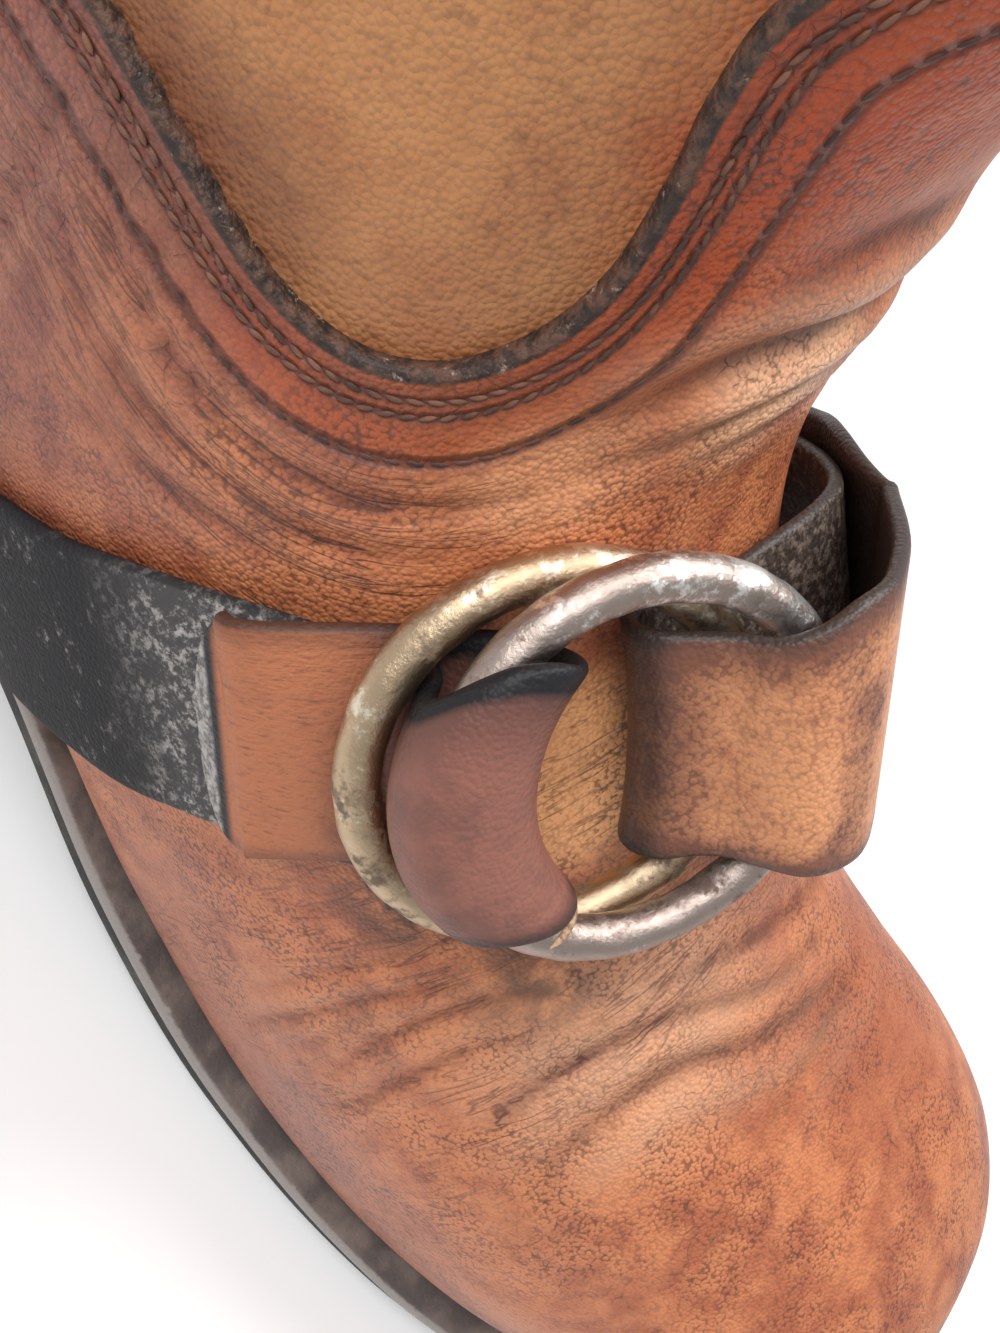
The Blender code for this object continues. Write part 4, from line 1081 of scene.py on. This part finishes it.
STRAP_BLACK = (0.014, 0.0135, 0.016, 1)
STRAP_WORN = (0.46, 0.43, 0.41, 1)
FOLD_PURPLE = (0.27, 0.11, 0.082, 1)
FOLD_GREY = (0.12, 0.06, 0.05, 1)
TAIL_BROWN = (0.46, 0.165, 0.08, 1)
TAIL_DARK = (0.12, 0.045, 0.03, 1)
SCUFFED_FROM = 4.2
SCUFFED_TO = 5.6
RUN_END = len(LATERAL_RUN) + 1.0
TAIL_START = len(LATERAL_RUN) + 13.5
TAIL_END = len(LATERAL_RUN) + len(LATERAL_FOLD) + len(LATERAL_TAIL) - 1.0

strap_finish, shader, place = new_finish("lateral strap leather", coat_roughness=0.35,
                                         specular_ior_level=0.22)
station = place.attribute("station")
across = place.attribute("across")
face = place.attribute("face")
from_shaft = place.attribute("from_shaft")
edge_near = place.attribute("from_toe").rise(3, 0.6) + from_shaft.rise(3, 0.6)
on_fold = station.rise(RUN_END, RUN_END + 2)
on_tail = station.rise(TAIL_START, TAIL_START + 1)
cloud = place.noise(8, 5, 0.6)
speck = place.noise(1.1, 6, 0.75)
scuff = place.noise(4.5, 6, 0.75)
close_to_tail = station.rise(SCUFFED_FROM, SCUFFED_TO)
worn = scuff.rise(0.56, 0.7) * speck.rise(0.42, 0.62)
worn = worn + close_to_tail * speck.rise(0.46, 0.6) * scuff.rise(0.4, 0.52)
black = (0.75 * worn + 0.12 * close_to_tail).colours(STRAP_BLACK, STRAP_WORN)
purple = (0.6 * cloud.rise(0.45, 0.7)).colours(FOLD_PURPLE, FOLD_GREY)
purple = (edge_near * 0.8 + from_shaft.rise(10, 1) * (0.25 + 0.75 * cloud)).colours(purple, STRAP_BLACK)
brown = (0.6 * cloud.rise(0.5, 0.8)).colours(TAIL_BROWN, TAIL_DARK)
wrinkle = place.joined(place.attribute("along") * 0.25, across).noise(0.6, 4, 0.6)
# Painted shade: the tail darkens in the valleys of its wrinkles.
brown = (wrinkle.rise(0.45, 0.3) * 0.5).colours(brown, TAIL_DARK)
tail_margin = station.rise(TAIL_END - 2.0, TAIL_END - 0.4) * 0.5
tail_margin = tail_margin + station.rise(TAIL_START + 2.2, TAIL_START + 1)
brown = (tail_margin * 0.8 + edge_near * 0.5).colours(brown, TAIL_DARK)
lip = station.rise(TAIL_END - 2.2, TAIL_END - 1.8)
brown = station.rise(TAIL_END - 2.9, TAIL_END - 2.3).colours(brown, STRAP_BLACK)
brown = (lip * (0.2 + 0.8 * speck.rise(0.4, 0.6))).colours(brown, STRAP_WORN)
colour = on_tail.colours(on_fold.colours(black, purple), brown)
rub = face.math("ABSOLUTE", face).rise(0.98, 0.7)
colour = (rub * 0.7).colours(colour, STRAP_BLACK)
relief = grain(place) * 0.6 + speck * 0.06 + wrinkle * on_tail * 0.3
dress(shader, colour, 0.52 - 0.16 * on_fold + 0.25 * speck, relief, coat_weight=0.25 * cloud * on_fold)
lateral_rows = run_rows(LATERAL_RUN) + fold_rows(LATERAL_FOLD) + run_rows(LATERAL_TAIL)
lateral_grid = strap_grid(lateral_rows, 1)
strap_lateral = add_strap("lateral_strap", lateral_grid, strap_finish)
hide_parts("strap_lateral")

# Torn edge: a sliver of leather split off the fold's lower edge where it rubs on the
# steel ring, pale on its torn side and curled off the strap.
SLIVER_STATIONS = (13.0, 15.4)
TOE_EDGE = 3
SLIVER_RADIUS = 0.6
SLIVER_CURL = 1.2
SLIVER_SIDES = 9
SLIVER_FLATNESS = 0.6
SLIVER_PALE = (0.5, 0.33, 0.2, 1)
SLIVER_BROWN = (0.2, 0.1, 0.06, 1)

buckle_point, buckle_along, buckle_wide, buckle_up = strap_frame(BUCKLE_U)
first, last = (int(station * STRAP_STEPS) for station in SLIVER_STATIONS)
sliver_line = lateral_grid[0][first:last, TOE_EDGE]
t = np.linspace(0, 1, len(sliver_line))[:, None]
sliver_line = sliver_line + SLIVER_CURL * (t ** 2 * buckle_wide + 0.5 * t * buckle_up)
sliver_along = unit(np.gradient(sliver_line, axis=0))
sliver_side = unit(np.cross(sliver_along, buckle_up))
sliver_up = np.cross(sliver_side, sliver_along)
a = np.linspace(0, 2 * np.pi, SLIVER_SIDES, endpoint=False)[:, None]
thick = SLIVER_RADIUS * np.sqrt(np.clip(BLUNT - (2 * t - 1) ** 2, 0, 1))[:, None]
sliver_cut = np.cos(a) * sliver_side[:, None] + SLIVER_FLATNESS * np.sin(a) * sliver_up[:, None]
sliver_points = sliver_line[:, None] + thick * sliver_cut
sliver_finish, shader, place = new_finish("torn leather")
fibre = place.noise(0.7, 5, 0.7)
dress(shader, fibre.rise(0.4, 0.65).colours(SLIVER_PALE, SLIVER_BROWN), 0.7 + 0.2 * fibre, fibre * 0.3)
sliver = add_tube("torn_sliver", sliver_points, sliver_finish)

# Loop strap: a wider strap from the medial waist, doubled, with its fold inside both
# rings. Its inner layer is dark; the outer one is orange with dark burnished margins
# and the print of the steel ring on it.
LOOP_INNER = (
    # column u, extra lift over resting on the upper, reach to the shaft side, to the toe side
    (0.83, 0.2, 13, 13), (0.78, 0.1, 13, 13), (0.7, 0, 13, 13), (0.6, 0, 13, 13),
    (0.5, 0.2, 13, 13), (0.4, 0.5, 13, 13), (0.3, 1.2, 13, 13), (0.2, 2.4, 13, 13),
    (0.1, 3.6, 13, 13), (0.03, 3.4, 13, 13),
)
LOOP_FOLD = (
    # along, height, reach to the shaft side, to the toe side, share of the ring's bend
    (22.5, -0.9, 13.5, 13.5, 0), (19.5, 0.2, 13.3, 13.3, 0), (16.5, 0.9, 13.3, 13.3, 0),
    (13, 1.7, 13.3, 13.3, 0), (9.5, 2.3, 13.3, 13.3, 0), (7, 4.0, 13.3, 13.3, 0.2),
    (6.2, 6.8, 13.3, 13.3, 0.3), (7.3, 9.7, 13.3, 13.3, 0.2), (10.3, 11.4, 13, 13, 0),
    (13, 13.0, 13, 13, 0), (15.4, 15.7, 13.2, 13.2, 0), (19, 17.4, 14.6, 14.4, 0),
    (23.2, 16.8, 16, 15.6, 0), (27.4, 15.2, 16.4, 16, 0), (31.2, 11.8, 16.5, 16, 0),
    (35.6, 6.7, 16.6, 16, 0), (39.9, 0.2, 16.7, 16.2, 0), (43.9, -7, 17, 16.4, 0),
)
LOOP_OUTER = (
    (0.15, 4.3, 15.9, 16.4), (0.2, 4.5, 15.8, 16), (0.3, 4.5, 15.4, 15.2), (0.4, 4, 15, 14.5),
    (0.5, 3.3, 14.5, 14), (0.6, 2.9, 14, 13.5), (0.7, 2.8, 13.5, 13.5), (0.78, 2.9, 13.5, 13.5),
    (0.83, 3.0, 13.5, 13.5),
)
LOOP_TURN = 14.5
LOOP_BEND = 17.6
PRINT_CENTRE_ALONG = 5.5
PRINT_RADIUS = 21.0
PRINT_WIDTH = 3.0
LOOP_ORANGE = (0.66, 0.29, 0.135, 1)
LOOP_BROWN = (0.44, 0.16, 0.075, 1)
LOOP_RED = (0.2, 0.075, 0.045, 1)
LOOP_DARK = (0.045, 0.03, 0.025, 1)
LOOP_GREY = (0.2, 0.15, 0.12, 1)

loop_rows = run_rows(LOOP_INNER) + fold_rows(LOOP_FOLD) + run_rows(LOOP_OUTER)
loop_grid = strap_grid(loop_rows, -1)
from_print = loop_grid[0] - buckle_point - PRINT_CENTRE_ALONG * buckle_along
print_along, print_wide = from_print @ buckle_along, from_print @ buckle_wide
print_far = np.hypot(print_along, print_wide) - PRINT_RADIUS
ring_print = np.exp(-(print_far / PRINT_WIDTH) ** 2) * (print_along > 0)
loop_finish, shader, place = new_finish("loop strap leather", coat_roughness=0.3, specular_ior_level=0.4)
station = place.attribute("station")
face = place.attribute("face")
from_shaft = place.attribute("from_shaft")
from_toe = place.attribute("from_toe")
cloud = place.noise(9, 5, 0.6)
speck = place.noise(1.2, 6, 0.7)
outer = (0.7 * cloud + 0.3 * speck).rise(0.42, 0.75).colours(LOOP_ORANGE, LOOP_BROWN)
side_margins = (from_shaft.rise(3, 0.2) + from_toe.rise(2.4, 0.2)) * (0.2 + 0.7 * cloud)
bend_margin = station.rise(LOOP_BEND, LOOP_BEND - 1) * (0.3 + 0.9 * cloud)
reddened = (from_shaft.rise(7, 1) + from_toe.rise(4.5, 0.3)) * 1.1
reddened = reddened + station.rise(LOOP_BEND + 1.2, LOOP_BEND - 0.4)
reddened = reddened + 0.45 * pits(place) + 0.5 * speck.rise(0.5, 0.7)
printed = place.attribute("print") * (cloud.rise(0.3, 0.6) * 0.75 + 0.2)
outer = ((reddened + printed) * (0.3 + 0.9 * cloud)).colours(outer, LOOP_RED)
printed = printed * speck.rise(0.5, 0.7) * cloud.rise(0.45, 0.6)
outer = (side_margins + bend_margin + printed).colours(outer, LOOP_DARK)
inner = speck.rise(0.45, 0.65).colours(LOOP_DARK, LOOP_GREY)
colour = station.rise(LOOP_TURN, LOOP_TURN + 1.7).colours(inner, outer)
cut = 1 - face.math("ABSOLUTE", face).rise(0.7, 0.98)
flesh = station.rise(LOOP_TURN, LOOP_TURN + 1.5) * face.rise(0.2, -0.4) + cut
colour = flesh.colours(colour, LOOP_DARK)
dress(shader, colour, 0.36 + 0.25 * speck, grain(place) * 0.7 + speck * 0.06, coat_weight=0.25 * cloud)
strap_loop = add_strap("loop_strap", loop_grid, loop_finish, {"print": ring_print})
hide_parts("strap_loop")

# Rings: two rings of round wire, the lower one dull brass and the upper one steel with
# worn plating. Both are pitted and a little uneven; dirt sits in their low spots.
RING_WIRE_RADIUS = 2.4
RING_POINTS = 280
WIRE_POINTS = 30
RING_DENT = 0.06
RING_GROUND = 0.05
# dents: waves round the ring, waves round the wire, start in radians
DENTS = ((7, 2, 0), (17, -3, 1), (31, 1, 2))
# places on each ring in millimetres: the rubbed one, where bare metal also stands as a painted highlight, and
# the sheltered one, where dull plating also stands as painted shade
RUB_AND_HIGHLIGHT_ALONG = 10.0
RUB_AND_HIGHLIGHT_WIDE = -16.0
SHELTER_AND_SHADE_WIDE = 19.0
RINGS = (
    # node, middle along the strap, height there, rise along the strap
    ("ring_brass", -3.2, 6.5, 0.07),
    ("ring_steel", 3.2, 11.9, 0.02),
)
RING_COLOURS = {
    # node: bare metal, dull metal, rust or dirt, share of dulled metal
    "ring_brass": ((0.82, 0.74, 0.6, 1), (0.52, 0.39, 0.26, 1), (0.12, 0.08, 0.055, 1), 0.55),
    "ring_steel": ((0.92, 0.89, 0.86, 1), (0.44, 0.36, 0.32, 1), (0.12, 0.07, 0.055, 1), 0.52),
}


def ring_finish(name, bare, dull, dirt, dulled, rub_and_highlight, shelter_and_shade):
    """Worn metal: bare patches over dull plating, most at the rubbed place, where the bright bare metal also
    stands as a painted highlight, and fewest at the sheltered one, where the dull plating also stands as
    painted shade; rust and dirt in pits."""
    material, shader, place = new_finish(name)
    polish_and_highlight = place.near(rub_and_highlight, 5, 24)
    patch = place.noise(8, 6, 0.62) - 0.12 * polish_and_highlight + 0.14 * place.near(shelter_and_shade, 6, 22)
    pit = place.noise(1.0, 6, 0.75)
    colour = (0.75 * patch + 0.25 * pit).rise(0.93 - dulled, 1.02 - dulled).colours(bare, dull)
    rusty = (place.noise(5, 7, 0.7) - 0.1 * polish_and_highlight).rise(0.53, 0.65)
    colour = (rusty * 0.85).colours(colour, dirt)
    dress(shader, colour, 0.24 + 0.2 * pit + 0.3 * rusty, pit * 0.12 + patch * 0.15, metallic=1 - 0.6 * rusty)
    return material


for node, along, rise, slope in RINGS:
    axis_along = unit(buckle_along + slope * buckle_up)
    axis = np.cross(buckle_wide, axis_along)
    centre = buckle_point + along * buckle_along + rise * buckle_up
    a = np.linspace(0, 2 * np.pi, RING_POINTS, endpoint=False)[:, None]
    b = np.linspace(0, 2 * np.pi, WIRE_POINTS, endpoint=False)
    dent = RING_DENT * sum(np.sin(long * a + short * b + start) for long, short, start in DENTS) / 2
    wire = RING_WIRE_RADIUS - RING_GROUND + dent
    radial = np.cos(a)[..., None] * axis_along + np.sin(a)[..., None] * buckle_wide
    points = centre + radial * (RING_MEAN_RADIUS + wire * np.cos(b))[..., None]
    points = points + (wire * np.sin(b))[..., None] * axis
    rub_and_highlight = tuple(centre + RUB_AND_HIGHLIGHT_ALONG * axis_along + RUB_AND_HIGHLIGHT_WIDE * buckle_wide)
    shelter_and_shade = tuple(centre + SHELTER_AND_SHADE_WIDE * buckle_wide)
    ring_metal = ring_finish(node + " metal", *RING_COLOURS[node], rub_and_highlight, shelter_and_shade)
    ring = add_ring(node + "_worn", points, ring_metal)
    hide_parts(node)

# Studio: a plain pale floor, soft white light all round, and the close camera of the
# photograph, which looks down at the instep from the lateral side, rolled to its right.
FLOOR_HALF = 2500.0
FLOOR_WHITE = (0.92, 0.92, 0.92, 1)
FLOOR_GLOW = 0.12
FLOOR_ROUGHNESS = 0.9
CAMERA_AT = np.array([96.036, -92.888, 202.937])
CAMERA_TO = np.array([112.493, -16.171, 100.0])
CAMERA_ROLL = 1.183
FOCAL_PIXELS = 1200.0
PHOTO_HEIGHT = 1333.0
SENSOR = 36.0
NEAR_CLIP = 0.005
FAR_CLIP = 20.0
WORLD_LIGHT = 0.5
LIGHT_UP = np.array([0.1, 0.2, 1.0])

corners = FLOOR_HALF * np.array([(-1, -1, 0), (1, -1, 0), (1, 1, 0), (-1, 1, 0)]) * MILLIMETRE
floor_mesh = bpy.data.meshes.new("floor")
floor_mesh.from_pydata(corners.tolist(), [], [(0, 1, 2, 3)])
floor_material = bpy.data.materials.new("floor paper")
floor_material.use_nodes = True
floor_shader = floor_material.node_tree.nodes["Principled BSDF"]
for socket, value in (("Base Color", FLOOR_WHITE), ("Roughness", FLOOR_ROUGHNESS),
                      ("Emission Color", FLOOR_WHITE), ("Emission Strength", FLOOR_GLOW)):
    floor_shader.inputs[socket].default_value = value
floor_mesh.materials.append(floor_material)
floor = bpy.data.objects.new("floor", floor_mesh)
bpy.context.scene.collection.objects.link(floor)

back = unit(CAMERA_AT - CAMERA_TO)
level_right = unit(np.cross(np.array([0, 0, 1.0]), back))
level_up = np.cross(back, level_right)
right = level_right * np.cos(CAMERA_ROLL) + level_up * np.sin(CAMERA_ROLL)
up = level_up * np.cos(CAMERA_ROLL) - level_right * np.sin(CAMERA_ROLL)


def turned(right, up, back, at):
    """Matrix of an object that looks along minus back from a place in millimetres."""
    matrix = np.eye(4)
    matrix[:3, 0], matrix[:3, 1], matrix[:3, 2] = right, up, back
    matrix[:3, 3] = at * MILLIMETRE
    return Matrix(matrix.tolist())


lens = bpy.data.cameras.new("close camera")
lens.sensor_width = SENSOR
lens.lens = FOCAL_PIXELS / PHOTO_HEIGHT * SENSOR
lens.clip_start = NEAR_CLIP
lens.clip_end = FAR_CLIP
camera = bpy.data.objects.new("close camera", lens)
camera.matrix_world = turned(right, up, back, CAMERA_AT)
bpy.context.scene.collection.objects.link(camera)
bpy.context.scene.camera = camera

LIGHTS = (
    # name, right, up and back of the camera's aim in millimetres, size, watts
    ("window", 420, 300, 260, 300, 2.7),
    ("front fill", 40, 160, 480, 300, 1.9),
)
for name, to_right, to_up, to_back, size, watts in LIGHTS:
    at = CAMERA_TO + to_right * right + to_up * up + to_back * back
    aim = unit(at - CAMERA_TO)
    light_right = unit(np.cross(LIGHT_UP, aim))
    lamp = bpy.data.lights.new(name, "AREA")
    lamp.shape = "DISK"
    lamp.size = size * MILLIMETRE
    lamp.energy = watts
    light = bpy.data.objects.new(name, lamp)
    light.matrix_world = turned(light_right, np.cross(aim, light_right), aim, at)
    bpy.context.scene.collection.objects.link(light)

world = bpy.data.worlds.new("studio")
world.use_nodes = True
background = world.node_tree.nodes["Background"]
background.inputs["Color"].default_value = (1, 1, 1, 1)
background.inputs["Strength"].default_value = WORLD_LIGHT
bpy.context.scene.world = world
bpy.context.scene.view_settings.view_transform = "Standard"
